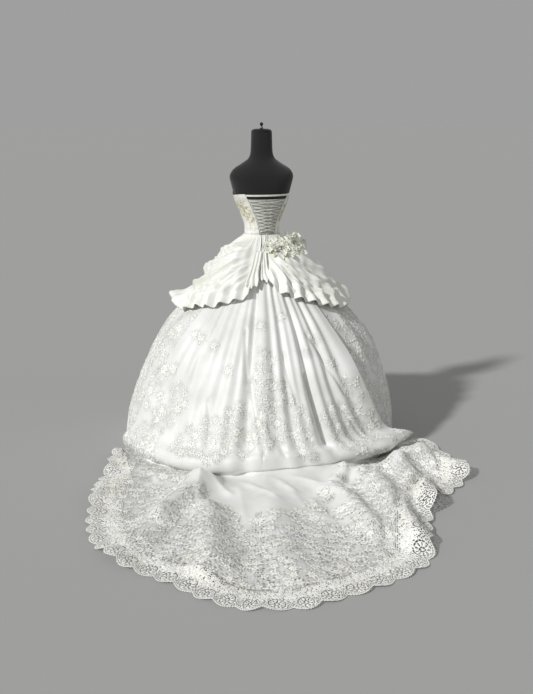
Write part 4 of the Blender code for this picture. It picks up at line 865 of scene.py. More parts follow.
def borderPoints(share, down):
    # flat from the seam to the scalloped edge, laid on the floor's folds
    seamPoints = seamLineOf(share)
    hem, out = hemLine(share)
    phase = (share + 1) * border["scallops"] / 2
    scallop = border["depth"] * (np.abs(np.sin(math.pi * phase)) - 0.5) * ease(0, 0.06, 1 - np.abs(share))
    edge = hem + out * scallop[..., None]
    ends = 1 + 2 * ease(0.12, 0, 1 - np.abs(share))
    start = seamPoints[..., :2] + out * (seam["borderGap"] * ends)[..., None]
    flat = start + (edge - start) * down[..., None]
    blend = ease(0, 0.36, down)
    height = seamPoints[..., 2] * (1 - blend) + floorHeight(flat) * blend
    frill = 0.004 * (1 - np.cos(2 * math.pi * phase * 0.5)) * ease(0.45, 1, down)
    return np.concatenate([flat, (height + frill)[..., None]], -1)


def borderPiece(word, firstScallop, lastScallop):
    scallops = lastScallop - firstScallop
    phase = np.linspace(firstScallop, lastScallop, scallops * guipure["across"] + 1)
    share = phase / border["scallops"] * 2 - 1
    down = np.linspace(0, 1, guipure["down"] + 1)
    share, down = np.meshgrid(share, down, indexing="ij")
    phase = np.repeat(phase[:, None], down.shape[1], 1)
    width = borderWidth(share)
    if firstScallop:
        share[0] += 0.0001
    thread = guipureThread(phase, down, width)
    points = borderPoints(share, down)
    centre = (thread[:-1, :-1] + thread[1:, :-1] + thread[:-1, 1:] + thread[1:, 1:]) / 4
    keep = centre > 0
    # points off the thread move to where the pattern is nought, at most half a step
    slopeX, slopeY = np.gradient(thread)
    size = slopeX**2 + slopeY**2 + 1e-6
    stepX, stepY = (np.clip(-np.minimum(thread, 0) * s / size, -0.5, 0.5) for s in (slopeX, slopeY))
    stepX[[0, -1]] = 0
    moved = points + stepX[..., None] * np.gradient(points, axis=0) + stepY[..., None] * np.gradient(points, axis=1)
    moved[..., 2] += guipure["relief"] * np.clip(thread / 2.5, 0, 1)
    moved[:, 0], moved[:, -1] = points[:, 0], points[:, -1]
    piece = clothPiece(f"hem_guipure_{word}", swung(moved), cordedLace, 0, keep)
    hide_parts(f"hem_lace_{word}")


third = border["scallops"] // 3
for k, word in enumerate(("left", "back", "right")):
    borderPiece(word, k * third, (k + 1) * third)
print("lace border made")

# The overskirt: three lengths gathered at the waist and picked up behind, so that folds fan out from the
# gathers. Each fold is a bell along its own line; the hem is a cosine ruffle that opens towards the edge.
overskirtHem = table(
    "angle height",
    (-180.0, 0.735), (-150.0, 0.715), (-120.0, 0.720), (-95.0, 0.690), (-80.0, 0.676), (-64.0, 0.680),
    (-50.0, 0.711), (-38.0, 0.718), (-28.0, 0.738), (-20.0, 0.751), (-10.0, 0.775), (0.0, 0.850), (4.5, 0.851),
    (12.0, 0.800), (20.0, 0.776), (29.0, 0.755), (37.0, 0.741), (46.0, 0.722), (56.0, 0.705), (75.0, 0.682),
    (100.0, 0.692), (130.0, 0.720), (160.0, 0.715), (180.0, 0.735),
)
overskirtFolds = table(
    "angle0 height0 angle1 height1 width rise",
    (-8.0, 1.010, -86.0, 0.955, 0.030, 0.016), (-8.0, 0.990, -80.0, 0.868, 0.032, 0.032),
    (-8.0, 0.965, -74.0, 0.784, 0.026, 0.028), (-10.0, 0.930, -60.0, 0.735, 0.028, 0.022),
    (-11.0, 0.890, -42.0, 0.740, 0.026, 0.016), (-76.0, 0.700, -98.0, 0.680, 0.042, 0.050),
    (8.0, 0.990, 34.0, 0.800, 0.026, 0.018), (12.0, 1.000, 66.0, 0.740, 0.028, 0.034),
    (30.0, 0.990, 84.0, 0.850, 0.034, 0.046), (28.0, 1.020, 88.0, 0.965, 0.034, 0.056),
    (60.0, 0.900, 96.0, 0.700, 0.038, 0.036), (7.0, 0.930, 20.0, 0.800, 0.022, 0.014),
    (128.0, 0.980, 168.0, 0.780, 0.040, 0.022), (-128.0, 0.980, -168.0, 0.780, 0.040, 0.022),
    (176.0, 0.990, 184.0, 0.760, 0.040, 0.020),
)
# Lesser folds between them, pressed in: both ends by angle and height, half width and rise.
sharpFolds = table(
    "angle0 height0 angle1 height1 width rise",
    (-7.0, 1.000, -84.0, 0.915, 0.008, 0.012), (-7.0, 0.982, -70.0, 0.850, 0.007, 0.015),
    (-8.0, 0.972, -66.0, 0.822, 0.008, 0.013), (-8.0, 0.955, -56.0, 0.775, 0.008, 0.016),
    (-9.0, 0.940, -46.0, 0.758, 0.007, 0.014), (-10.0, 0.905, -34.0, 0.752, 0.007, 0.013),
    (-10.0, 0.880, -26.0, 0.760, 0.007, 0.012), (-30.0, 0.930, -64.0, 0.890, 0.006, 0.009),
    (-24.0, 0.985, -60.0, 0.960, 0.008, 0.010), (-12.0, 0.990, -48.0, 0.905, 0.006, 0.010),
    (-20.0, 0.950, -52.0, 0.835, 0.006, 0.010), (-34.0, 0.870, -60.0, 0.742, 0.007, 0.010),
    (-52.0, 0.860, -78.0, 0.760, 0.008, 0.012), (-46.0, 1.005, -80.0, 0.955, 0.008, 0.010),
    (8.0, 0.965, 26.0, 0.790, 0.008, 0.015), (10.0, 0.985, 50.0, 0.760, 0.009, 0.017),
    (20.0, 0.985, 74.0, 0.790, 0.009, 0.015), (34.0, 0.985, 92.0, 0.890, 0.009, 0.014),
    (7.0, 0.905, 13.0, 0.815, 0.007, 0.010), (40.0, 0.920, 60.0, 0.740, 0.008, 0.014),
    (14.0, 0.930, 36.0, 0.765, 0.007, 0.012), (50.0, 0.930, 84.0, 0.800, 0.008, 0.012),
    (110.0, 1.000, 150.0, 0.820, 0.012, 0.010), (-110.0, 1.000, -150.0, 0.820, 0.012, 0.010),
    (150.0, 1.005, 170.0, 0.860, 0.011, 0.009), (-150.0, 1.005, -170.0, 0.860, 0.011, 0.009),
    (-100.0, 0.985, -128.0, 0.760, 0.014, 0.012), (100.0, 0.985, 128.0, 0.760, 0.014, 0.012),
)
# Between those a fan of small pressed folds, from the gathers at the middle out to the hem on each side.
luck = np.random.default_rng(19)
fan = []
for side, gather, low, high in ((-1, -7.0, 20.0, 118.0), (1, 9.0, 18.0, 112.0)):
    for k in range(17):
        reachOut = side * (low + (high - low) * (k + luck.uniform(0.2, 0.8)) / 17)
        leave = 0.995 - 0.10 * (1 - k / 16) * luck.uniform(0.7, 1.3)
        fall = (0.79 - 0.05 * math.sin(math.pi * k / 16)) + 0.10 * ease(10, 16, k) + luck.uniform(-0.02, 0.02)
        fan.append((gather + side * luck.uniform(0, 14), leave, reachOut, float(fall), luck.uniform(0.0045, 0.0075),
                    luck.uniform(0.004, 0.009)))
fanFolds = table("angle0 height0 angle1 height1 width rise", *fan)
over = {"swagEnd": 112.0, "ruffles": 36, "ruffleDepth": 0.012, "gathers": 36, "gatherDepth": 0.0015,
        "foldGather": 0.45, "columns": 200, "rows": 96, "frontColumns": 90, "fineGather": 0.0011,
        "fullness": 1.22}


def hemRow(angle):
    return ballRow(columnAt(overskirtHem, "height", "angle", signedAngle(angle)))


def overskirtAt(angle, row, extra=0.0, fine=True):
    share = row / hemRow(angle)
    base = ballPoint(angle, row, 0.0)
    rise = 0.0
    for folds in (overskirtFolds, sharpFolds, fanFolds)[:3 if fine else 1]:
        sharp = folds is not overskirtFolds
        for i in range(len(folds["row"])):
            along = np.linspace(0, 1, 9)
            line = ballPoint(folds["angle0"][i] + (folds["angle1"][i] - folds["angle0"][i]) * along,
                             ballRow(folds["height0"][i] + (folds["height1"][i] - folds["height0"][i]) * along), 0.0)
            rise = rise + folds["rise"][i] * crest(base, line, folds["width"][i], over["foldGather"], sharp)
    ruffle = over["ruffleDepth"] * (1 + np.cos(np.radians(angle) * over["ruffles"])) * ease(0.72, 1.0, share)
    gather = over["gatherDepth"] * (1 + np.cos(np.radians(angle) * over["gathers"])) * ease(0.05, 0.2, share)
    if fine:
        turns = np.radians(angle)
        gather = gather + over["fineGather"] * (np.sin(turns * 90 + 2 * np.sin(turns * 17)) - 1) * ease(
            0.0, 0.10, share) * ease(0.45, 0.16, share)
        gather = gather + 0.0012 * softNoise(turns * 9, row * 1.4, 21) * ease(0.1, 0.3, share)
    out = layerLift(ball["overskirtLift"], row) + (rise + gather) * ease(0.02, 0.2, share) + ruffle
    return ballPoint(angle, row, out + extra)


share = np.linspace(0, 1, over["rows"])[None, :]
across = np.linspace(0, 1, over["columns"])[:, None]
inset = math.degrees(seam["gap"] / ball["hipRadius"])
innerLeft = -1.0 - 9.0 * ease(0.3, 1.0, share)
innerRight = 1.0 + 6.0 * ease(0.3, 1.0, share)
swags = {
    "left": -over["swagEnd"] + (innerLeft + over["swagEnd"]) * across,
    "right": innerRight + (over["swagEnd"] - innerRight) * across,
    "front": np.linspace(over["swagEnd"] + inset, 360 - over["swagEnd"] - inset, over["frontColumns"])[:, None],
}
overskirt = {}
for word, angle in swags.items():
    angle = angle + 0 * share
    overskirt[word] = swung(overskirtAt(angle, hemRow(angle) * share))
    piece = clothPiece(f"overskirt_{word}_cloth", overskirt[word], crispTaffeta, 0.0009)
    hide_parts(f"overskirt_{word}")
print("overskirt made")


def settled(points, node):
    # moved, without a turn, so that the middle of its box is the middle of the node's box
    low, high = (np.array(corner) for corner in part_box(node))
    flat = points.reshape(-1, 3)
    return points + (low + high) / 2 - (flat.min(0) + flat.max(0)) / 2


tails = (
    {"node": "overskirt_tail_left", "angles": (-4.0, -9.0), "heights": (0.955, 0.815), "widths": (0.030, 0.052),
     "lift": 0.024},
    {"node": "overskirt_tail_right", "angles": (2.0, 4.0), "heights": (0.960, 0.845), "widths": (0.026, 0.040),
     "lift": 0.020},
)
for tail in tails:
    # pleats as a cosine across, opening downwards; the point of the tail hangs lower in its middle
    down = np.linspace(0, 1, 40)[None, :]
    across = np.linspace(-0.5, 0.5, 42)[:, None]
    row = ballRow(tail["heights"][0] + (tail["heights"][1] - tail["heights"][0]) * down)
    radius, _ = ballSection(np.array([0.0]), row)
    width = tail["widths"][0] + (tail["widths"][1] - tail["widths"][0]) * down
    angle = tail["angles"][0] + (tail["angles"][1] - tail["angles"][0]) * down + np.degrees(across * width / radius)
    angle = angle + 1.1 * np.sin(2.2 * math.pi * down + 3 * across) * down
    pleat = 0.006 * (1 + np.cos(2 * math.pi * (2.5 * across + 0.12 * np.sin(5 * down)))) * (0.3 + 0.7 * down)
    row = row + 0.35 * (0.5 - np.abs(across)) * down + 0.10 * np.cos(2 * math.pi * 2.5 * across) * down**3
    grid = swung(ballPoint(angle, row, tail["lift"] + 0.012 * (1 - down) + pleat))
    grid = settled(grid, tail["node"])
    piece = clothPiece(tail["node"] + "_cloth", grid, crispTaffeta, 0.0008)
    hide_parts(tail["node"])

# The lacing's two tied ends hang over the waist and down the overskirt.
laceEnds = (
    {"node": "lace_end_left", "angles": (11.0, 8.0, 4.5, 1.0, -2.0, -3.5),
     "heights": (1.044, 1.025, 1.005, 0.988, 0.972, 0.960)},
    {"node": "lace_end_right", "angles": (16.0, 14.0, 10.5, 7.0, 4.5, 3.5),
     "heights": (1.044, 1.028, 1.012, 0.997, 0.984, 0.974)},
)
for end in laceEnds:
    route = swung(overskirtAt(np.array(end["angles"]), ballRow(np.array(end["heights"])),
                              2 * lacing["cord"] + seam["gap"], fine=False))
    start = torsoPoint(np.array([end["angles"][0] + 1.0 + trainSwing]), np.array([1.060]),
                       bodice["lift"] + lacing["cord"] + 0.0025)
    points = np.vstack([start, route])
    stations = {"row": np.arange(len(points), dtype=float), "x": points[:, 0], "y": points[:, 1], "z": points[:, 2]}
    at = np.linspace(0, len(points) - 1, 8 * len(points) - 7)
    path = np.stack([columnAt(stations, letter, "row", at) for letter in "xyz"], -1)
    piece = tubePiece(end["node"] + "_cord", path, lacing["cord"] * 0.97, ratTail, 10)
    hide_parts(end["node"])
print("tails and lace ends made")

# Lace worked on the organza: petals, leaves, scrolls and dots, drawn flat in millimetres as small grids with
# corded edges, then carried point by point onto the cloth, so that each motif bends with its folds.
none = 9.0
relief = {"lift": 0.0006, "edge": 0.2, "cord": 2.7, "hollow": 1.0, "haloNear": 0.018, "haloFar": 0.044, "onBall": 0.5}


def petalPatch(foot, length, wide, turn, centre=(0.0, 0.0), point=0.5, steps=(5, 4)):
    # half width: wide/2 times the sine along it to the power point; a cord inside each edge, a hollow between
    across = np.linspace(-1, 1, steps[0])[:, None]
    along = np.linspace(0, 1, steps[1])[None, :]
    half = wide / 2 * np.sin(math.pi * (0.10 + 0.86 * along)) ** point
    x, y = across * half, foot + length * along
    rise = (np.where(np.abs(across) > 0.9, relief["edge"], relief["hollow"])
            + (relief["cord"] - relief["hollow"]) * np.exp(-((np.abs(across) - 0.55) / 0.22) ** 2)) + 0 * along
    rise = rise * (1 - 0.4 * np.abs(2 * along - 1))
    return patch(x * math.cos(turn) - y * math.sin(turn) + centre[0],
                 x * math.sin(turn) + y * math.cos(turn) + centre[1], rise)


def patch(x, y, z):
    grid = np.stack(np.broadcast_arrays(x, y, z), -1)
    return grid.reshape(-1, 3), quadsOf(*grid.shape[:2])


def domePatch(x, y, radius, rise):
    # a square drawn in to a circle: its corners move in by the root of two
    a, b = np.meshgrid([-1.0, 0.0, 1.0], [1.0, 0.0, -1.0], indexing="ij")
    far = np.maximum(np.hypot(a, b), 1)
    return patch(x + a / far * radius, y + b / far * radius, rise * (1.15 - 0.85 * np.maximum(np.abs(a), np.abs(b))))


def scrollPatch(start, length, bend, turn, width=2.6, steps=9):
    # a cord that curls: its heading turns ever faster, as bend times the square of the way along
    along = np.linspace(0, 1, steps)
    heading = turn + bend * along**2
    x = start[0] + np.concatenate([[0], np.cumsum(np.cos(heading[:-1]))]) * length / (steps - 1)
    y = start[1] + np.concatenate([[0], np.cumsum(np.sin(heading[:-1]))]) * length / (steps - 1)
    side = np.array([1.0, 0.0, -1.0])[:, None] * width / 2 * (1 - 0.35 * along)
    return patch(x - np.sin(heading) * side, y + np.cos(heading) * side,
                 np.array([0.3, 1.5, 0.3])[:, None] + 0 * along)


def motif(patches):
    vertices, faces, count = [], [], 0
    for points, quads in patches:
        vertices.append(points)
        faces.append(quads + count)
        count += len(points)
    return np.vstack(vertices), np.vstack(faces)


def ringOf(petals, foot, length, wide, centre=(0.0, 0.0), first=0.0, **more):
    return [petalPatch(foot, length, wide, first + 2 * math.pi * k / petals, centre, **more) for k in range(petals)]


motifs = {
    "bloom": motif(ringOf(6, 7, 19, 17) + ringOf(5, 2.5, 8, 7.5, first=0.3, steps=(3, 3))
                   + [domePatch(0, 0, 3.4, 3.6)]
                   + [petalPatch(27, 22, 10, turn, point=0.9) for turn in (0.5, 1.6, 2.8, 4.1, 5.3)]
                   + [scrollPatch((-20, 18), 34, 3.6, 2.4), scrollPatch((19, -19), 34, -3.6, -0.5)]
                   + [domePatch(32 * math.cos(a), 32 * math.sin(a), 2.4, 2.0) for a in (0.1, 1.1, 2.9, 4.0, 5.1)]),
    "sprig": motif(ringOf(5, 4, 12, 11) + [domePatch(0, 0, 2.8, 3.0)]
                   + [petalPatch(17, 17, 8, turn, point=0.9, steps=(5, 3)) for turn in (0.9, 3.0, 5.2)]
                   + [scrollPatch((12, 12), 26, 3.2, 0.9)]
                   + [domePatch(21 * math.cos(a), 21 * math.sin(a), 2.0, 1.8) for a in (0.2, 2.6, 4.4)]),
    "stem": motif([scrollPatch((0, -30), 62, -1.1, 1.9, steps=11)]
                  + [petalPatch(3, 16, 7.5, turn, centre, point=0.9, steps=(5, 3)) for turn, centre in
                     ((1.1, (-9, -8)), (-0.9, (-10, 2)), (0.9, (-13, 15)), (-1.2, (-9, 22)))]
                  + ringOf(5, 2, 8, 8, centre=(2, 36), steps=(3, 3)) + [domePatch(2, 36, 2.2, 2.4)]),
    "flower": motif(ringOf(6, 4, 14, 13) + ringOf(5, 1.5, 6, 6, first=0.4, steps=(3, 3))
                    + [domePatch(0, 0, 2.6, 3.0)]),
}


def onCloth(grid, u, v):
    # between the four nearest points of the grid, by shares
    u, v = np.clip(u, 0, grid.shape[0] - 1.001), np.clip(v, 0, grid.shape[1] - 1.001)
    i, j = u.astype(int), v.astype(int)
    a, b = (u - i)[..., None], (v - j)[..., None]
    return ((grid[i, j] * (1 - b) + grid[i, j + 1] * b) * (1 - a)
            + (grid[i + 1, j] * (1 - b) + grid[i + 1, j + 1] * b) * a)


def sewn(grid, kind, spots):
    # spots hold column, row, turn and size; a step to the side is paid in columns, one down in rows
    pattern, quads = motifs[kind]
    u, v, turn, size = (spots[:, k, None] for k in range(4))
    across = (onCloth(grid, u + 1.5, v) - onCloth(grid, u - 1.5, v)) / 3
    down = (onCloth(grid, u, v + 1.5) - onCloth(grid, u, v - 1.5)) / 3
    perRow = np.linalg.norm(down, axis=-1)
    way = down / perRow[..., None]
    slant = (across * way).sum(-1)
    perColumn = np.sqrt(np.maximum((across**2).sum(-1) - slant**2, 1e-8))
    x, y = pattern[None, :, 0] / 1000 * size, pattern[None, :, 1] / 1000 * size
    x, y = x * np.cos(turn) - y * np.sin(turn), x * np.sin(turn) + y * np.cos(turn)
    columns = x / perColumn
    rows = (-y - columns * slant) / perRow
    outward = onCloth(outwardOf(grid), u + columns, v + rows)
    rise = relief["lift"] + pattern[None, :, 2, None] / 1000 * np.sqrt(size)[..., None]
    points = onCloth(grid, u + columns, v + rows) + outward * rise
    faces = quads[None] + (np.arange(len(spots)) * len(pattern))[:, None, None]
    return points.reshape(-1, 3), faces.reshape(-1, 4)


def lacePiece(name, grid, spots, material=cordedLace):
    # one piece for each cloth; spots is a list of kind, column, row, turn and size
    vertices, faces, count = [], [], 0
    for kind in motifs:
        chosen = np.array([spot[1:] for spot in spots if spot[0] == kind], dtype=float)
        if len(chosen):
            points, quads = sewn(grid, kind, chosen)
            vertices.append(points)
            faces.append(quads + count)
            count += len(points)
    points = np.vstack(vertices)
    piece = meshPiece(name, points, np.vstack(faces), material, points[:, (0, 2)])
    print(name, len(spots), "motifs")
    return piece


def scattered(grid, spacing, seed, tries, margin=0.022):
    # places thrown at even odds over the cloth's area, each kept if none kept before is nearer than its spacing
    luck = np.random.default_rng(seed)
    across, down = np.diff(grid, axis=0)[:, :-1], np.diff(grid, axis=1)[:-1]
    area = np.linalg.norm(np.cross(across, down), axis=-1).ravel()
    cell = luck.choice(len(area), tries, p=area / area.sum())
    u = cell // (grid.shape[1] - 1) + luck.uniform(0, 1, tries)
    v = cell % (grid.shape[1] - 1) + luck.uniform(0, 1, tries)
    place, wanted = onCloth(grid, u, v), onCloth(spacing[..., None], u, v)[:, 0]
    edges = [np.linalg.norm(grid - line, axis=-1) for line in (grid[:1], grid[-1:], grid[:, :1], grid[:, -1:])]
    nearest = onCloth(np.min(edges, axis=0)[..., None], u, v)[:, 0]
    kept = []
    for k in np.flatnonzero((wanted < 0.5) & (nearest > margin)):
        if not kept or np.linalg.norm(place[kept] - place[k], axis=1).min() > wanted[k]:
            kept.append(k)
    return u[kept], v[kept], wanted[kept], luck


def spotsOf(u, v, wanted, luck, kinds=("bloom", "sprig", "stem")):
    # the motif fills its own spacing, so where motifs stand close they are drawn smaller; the kinds are chosen at
    # fixed odds
    odds = {"bloom": 0.45, "sprig": 0.35, "stem": 0.20}
    share = np.array([odds[kind] for kind in kinds])
    reach = {"bloom": 0.052, "sprig": 0.038, "stem": 0.046}
    spots = []
    for k in range(len(u)):
        kind = str(luck.choice(kinds, p=share / share.sum()))
        size = np.clip(wanted[k] / reach[kind] * 0.92, 0.7, 1.35) * luck.uniform(0.9, 1.08)
        turn = luck.uniform(0, 2 * math.pi) if kind != "stem" else luck.normal(0, 0.5)
        spots.append((kind, u[k], v[k], turn, size))
    return spots


def worked(piece, grid, spots):
    # where the cloth is worked its ground is net, painted darker as the shade seen through it: a share from 1 beside
    # a motif to 0 a hand away, full on the floor and half on the ball
    at = onCloth(grid, np.array([s[1] for s in spots]), np.array([s[2] for s in spots]))
    far = np.full(grid.shape[:2], none)
    for place in at:
        far = np.minimum(far, np.linalg.norm(grid - place, axis=-1))
    onFloor = ease(0.14, 0.05, grid[..., 2])
    share = (1 - ease(relief["haloNear"], relief["haloFar"], far)) * (
        relief["onBall"] + (1 - relief["onBall"]) * onFloor)
    # the worked attribute holds the share of painted shade on the net ground
    layer = piece.data.attributes.new("worked", "FLOAT", "POINT")
    layer.data.foreach_set("value", share.ravel().astype(np.float32))


# On the two back gores, taken as one cloth: bouquets on the ball and a wide worked band round the train.
bouquets = table(
    "angle height radius spacing",
    (-54.0, 0.090, 0.085, 0.037), (-47.0, 0.215, 0.070, 0.040), (-40.0, 0.330, 0.055, 0.042),
    (-30.0, 0.120, 0.080, 0.042), (-19.0, 0.170, 0.095, 0.037), (-11.0, 0.285, 0.050, 0.040),
    (-7.0, 0.180, 0.060, 0.042), (9.0, 0.220, 0.060, 0.040), (15.5, 0.237, 0.060, 0.040),
    (19.0, 0.145, 0.055, 0.040), (36.0, 0.206, 0.090, 0.037), (43.0, 0.117, 0.070, 0.037),
    (31.0, 0.238, 0.055, 0.038), (4.0, 0.222, 0.075, 0.037), (3.5, 0.354, 0.070, 0.038), (1.5, 0.450, 0.050, 0.038),
    (2.0, 0.515, 0.040, 0.037), (-58.0, 0.330, 0.080, 0.056), (-61.0, 0.470, 0.075, 0.058),
    (-50.0, 0.450, 0.050, 0.060), (8.0, 0.400, 0.040, 0.042), (12.0, 0.310, 0.045, 0.042),
    (-2.0, 0.675, 0.022, 0.040), (14.0, 0.703, 0.020, 0.040), (23.0, 0.540, 0.028, 0.040),
    (30.0, 0.600, 0.022, 0.040), (34.0, 0.485, 0.028, 0.040), (-26.0, 0.560, 0.022, 0.040),
    (-38.0, 0.600, 0.030, 0.038), (-16.0, 0.480, 0.022, 0.040),
)
across = np.concatenate([np.linspace(-1, 0, len(skirt["backleft"])), np.linspace(0, 1, len(skirt["backright"]))[1:]])
trainRows = skirt["backleft"].shape[1]
across, down = np.meshgrid(across, np.linspace(0.07, 0.97, 15), indexing="ij")
whole = np.concatenate([np.concatenate([skirt["backleft"], skirt["backright"][1:]]),
                        swung(borderPoints(across, down)) + (0, 0, guipure["relief"] * 0.6)], 1)
unswung = np.radians(-trainSwing)
flat = np.stack([whole[..., 0] * math.cos(unswung) - whole[..., 1] * math.sin(unswung),
                 whole[..., 0] * math.sin(unswung) + whole[..., 1] * math.cos(unswung), whole[..., 2]], -1)
radius = np.hypot(flat[..., 0], flat[..., 1])
fromHem = np.cumsum(np.linalg.norm(np.diff(whole, axis=1), axis=-1)[:, ::-1], axis=1)[:, ::-1]
fromHem = np.concatenate([fromHem, np.zeros((len(whole), 1))], 1)
uneven = softNoise(flat[..., 0] * 5.5, flat[..., 1] * 5.5, 8)
band = fromHem - border["width"] + 0.10 * uneven
spacing = np.where(band < 0.66, 0.040 + 0.022 * ease(0.22, 0.62, band), none)
spacing[:, trainRows:] = 0.058
spacing[:, -8:] = none
spacing = np.where((flat[..., 2] > 0.10) & (radius < 0.95), none, spacing)
for i in range(len(bouquets["row"])):
    spot = ballPoint(bouquets["angle"][i], ballRow(bouquets["height"][i]), 0.0)
    away = np.linalg.norm((flat - spot) * (1, 1, 0.8), axis=-1)
    spacing = np.where((away < bouquets["radius"][i]) & (flat[..., 2] > 0.035), bouquets["spacing"][i], spacing)
columns = np.arange(len(whole))[:, None] / len(whole)
edge = (columns > 0.90) & (flat[..., 2] > 0.03) & (flat[..., 2] < 0.42) & (np.arange(whole.shape[1]) < trainRows)
spacing = np.where(edge & (spacing > 1), 0.050, spacing)
backSpots = spotsOf(*scattered(whole, spacing, 5, 12000))
for name, chosen in (("lace_back_upper", [s for s in backSpots if s[2] < 120]),
                     ("lace_back_train", [s for s in backSpots if s[2] >= 120])):
    lacePiece(name, whole, chosen)
middle = len(skirt["backleft"]) - 1
for word, columns in (("backleft", slice(0, middle + 1)), ("backright", slice(middle, None))):
    part = whole[columns, :trainRows]
    shifted = [(s[0], s[1] - (columns.start or 0)) + s[2:] for s in backSpots
               if -8 < s[1] - (columns.start or 0) < len(part) + 7]
    worked(skirtPieces[word], part, shifted)

# The sides are worked all over below the overskirt, the front from its knees down.
for word, top, seed in (("sideleft", 0.700, 11), ("sideright", 0.700, 12), ("front", 0.560, 13)):
    grid = skirt[word]
    height = grid[..., 2] + 0.05 * softNoise(grid[..., 0] * 6, grid[..., 1] * 6, seed)
    near = 0.052 if word == "front" else 0.045
    spacing = np.where(height < top, near + 0.012 * ease(0.25, top, height), none)
    spots = spotsOf(*scattered(grid, spacing, seed, 6000))
    lacePiece("lace_" + word, grid, spots)
    worked(skirtPieces[word], grid, spots)
print("lace worked")

# Goldwork and lace on the bodice behind: curls of gilt bullion round small flowers in a slanting band over both
# back panels, white sprigs under the top edge and along the bottom one, and pearls among them.
motifs["curls"] = motif([scrollPatch((4 * math.cos(a), 4 * math.sin(a)), 21, 5.4 * way, a, width=2.5, steps=13)
                         for a, way in ((0.2, 1), (1.5, -1), (2.7, 1), (4.0, -1), (5.2, 1))])
motifs["gilt"] = motif(ringOf(5, 1.5, 6.5, 5.5, steps=(5, 4)) + [scrollPatch((6, -4), 18, -4.6, -0.4, 2.2, 11),
                                                                 scrollPatch((-6, 4), 18, -4.6, 2.7, 2.2, 11)])
motifs["pearls"] = motif([domePatch(x, y, 1.7, 2.6) for x, y in ((0, 0), (5.2, 3.0), (-4.6, 4.2), (0.8, -6.0))])
goldBand = table(
    "column down turn size",
    (7, 12, 0.2, 0.95), (14, 9, 1.4, 0.95), (20, 14, 2.6, 1.10), (28, 12, 0.9, 0.95), (36, 16, 3.9, 1.10),
    (10, 19, 2.1, 0.95), (25, 20, 5.0, 1.05), (42, 22, 0.4, 1.00), (16, 25, 3.3, 0.90), (33, 25, 1.2, 1.00),
    (45, 29, 2.4, 0.85), (24, 29, 0.7, 0.80), (38, 32, 4.4, 0.85),
)
for word in ("left", "right"):
    pair = ["sideBack" + word, "back" + word] if word == "left" else ["back" + word, "sideBack" + word]
    cloth = np.concatenate([panels[pair[0]], panels[pair[1]][1:]])
    last = len(cloth) - 1
    spots = {"gold": [], "white": [], "pearl": []}
    for i in range(len(goldBand["row"])):
        column = goldBand["column"][i] if word == "left" else last - goldBand["column"][i]
        at = (column, goldBand["down"][i], goldBand["turn"][i])
        spots["gold"].append(("curls" if i % 2 else "gilt",) + at + (goldBand["size"][i],))
        spots["pearl"].append(("pearls", column + 1.0, at[1] + 2.0, at[2], 0.8))
    for k in range(9):
        spots["white"].append(("flower", 4 + k * (last - 8) / 8, 45.5 + (k % 2), 0.7 * k, 0.50))
        spots["white"].append(("sprig", 4 + k * (last - 8) / 8, 5.0 + 2 * (k % 2), 1.3 * k, 0.42))
        spots["pearl"].append(("pearls", 6 + k * (last - 10) / 8, 41.5, 0.9 * k, 0.7))
    lacePiece("goldwork_" + word, cloth, spots["gold"], giltBullion)
    lacePiece("bodice_lace_" + word, cloth, spots["white"], cordedLace)
    lacePiece("bodice_pearls_" + word, cloth, spots["pearl"], pearl)
grid = modestyGrid
spacing = np.full(grid.shape[:2], 0.017)
spots = [("flower" if k % 3 else "sprig", a, b, 1.7 * k, 0.36)
         for k, (a, b) in enumerate(zip(*scattered(grid, spacing, 31, 3000, margin=0.006)[:2]))]
lacePiece("modesty_motifs", grid, spots, modestyLace)
print("goldwork made")


def petalGrid(length, wide, cupping, curl, steps=(7, 7)):
    # along and across a petal: a rounded outline, cupped as a parabola across, its lip curled over at the end
    across = np.linspace(-1, 1, steps[0])[:, None]
    along = np.linspace(0, 1, steps[1])[None, :]
    half = wide / 2 * np.sin(math.pi * (0.12 + 0.74 * along)) ** 0.6 * (1 - 0.15 * along * across**2)
    x = across * half
    y = length * (along - 0.10 * along**2 * across**2)
    z = cupping * across**2 * along + curl * along**3 - 0.6 * curl * ease(0.82, 1.0, along)
    return np.stack(np.broadcast_arrays(x, y, z), -1)


def petalAt(petal, spin, tilt, reach, rise):
    # stood up by tilt from lying flat, moved out by reach, turned round the rose by spin
    x, y, z = petal[..., 0], petal[..., 1], petal[..., 2]
    y, z = y * math.cos(tilt) - z * math.sin(tilt) + reach, y * math.sin(tilt) + z * math.cos(tilt) + rise
    return np.stack([x * math.cos(spin) - y * math.sin(spin), x * math.sin(spin) + y * math.cos(spin), z], -1)


def manyGrids(name, grids, material, wall):
    # several sheets of the same number of points as one piece
    vertices, faces, uvs, count = [], [], [], 0
    for grid in grids:
        vertices.append(grid.reshape(-1, 3))
        faces.append(quadsOf(*grid.shape[:2]) + count)
        uvs.append(clothUv(grid).reshape(-1, 2))
        count += grid.shape[0] * grid.shape[1]
    piece = meshPiece(name, np.vstack(vertices), np.vstack(faces), material, np.vstack(uvs))
    if wall:
        shell = piece.modifiers.new("wall", "SOLIDIFY")
        shell.thickness, shell.offset = wall, 0.0
    return piece


def outwardAt(angle, height):
    row = ballRow(np.array([height]))
    near, far = (swung(ballPoint(np.array([angle]), row, np.array([out])))[0] for out in (0, 1))
    return Vector(far - near)


def stoodOn(points, normal):
    # a local up along the way out from the skirt
    turn = np.array(normal.to_track_quat("Z", "Y").to_matrix())
    return points @ turn.T


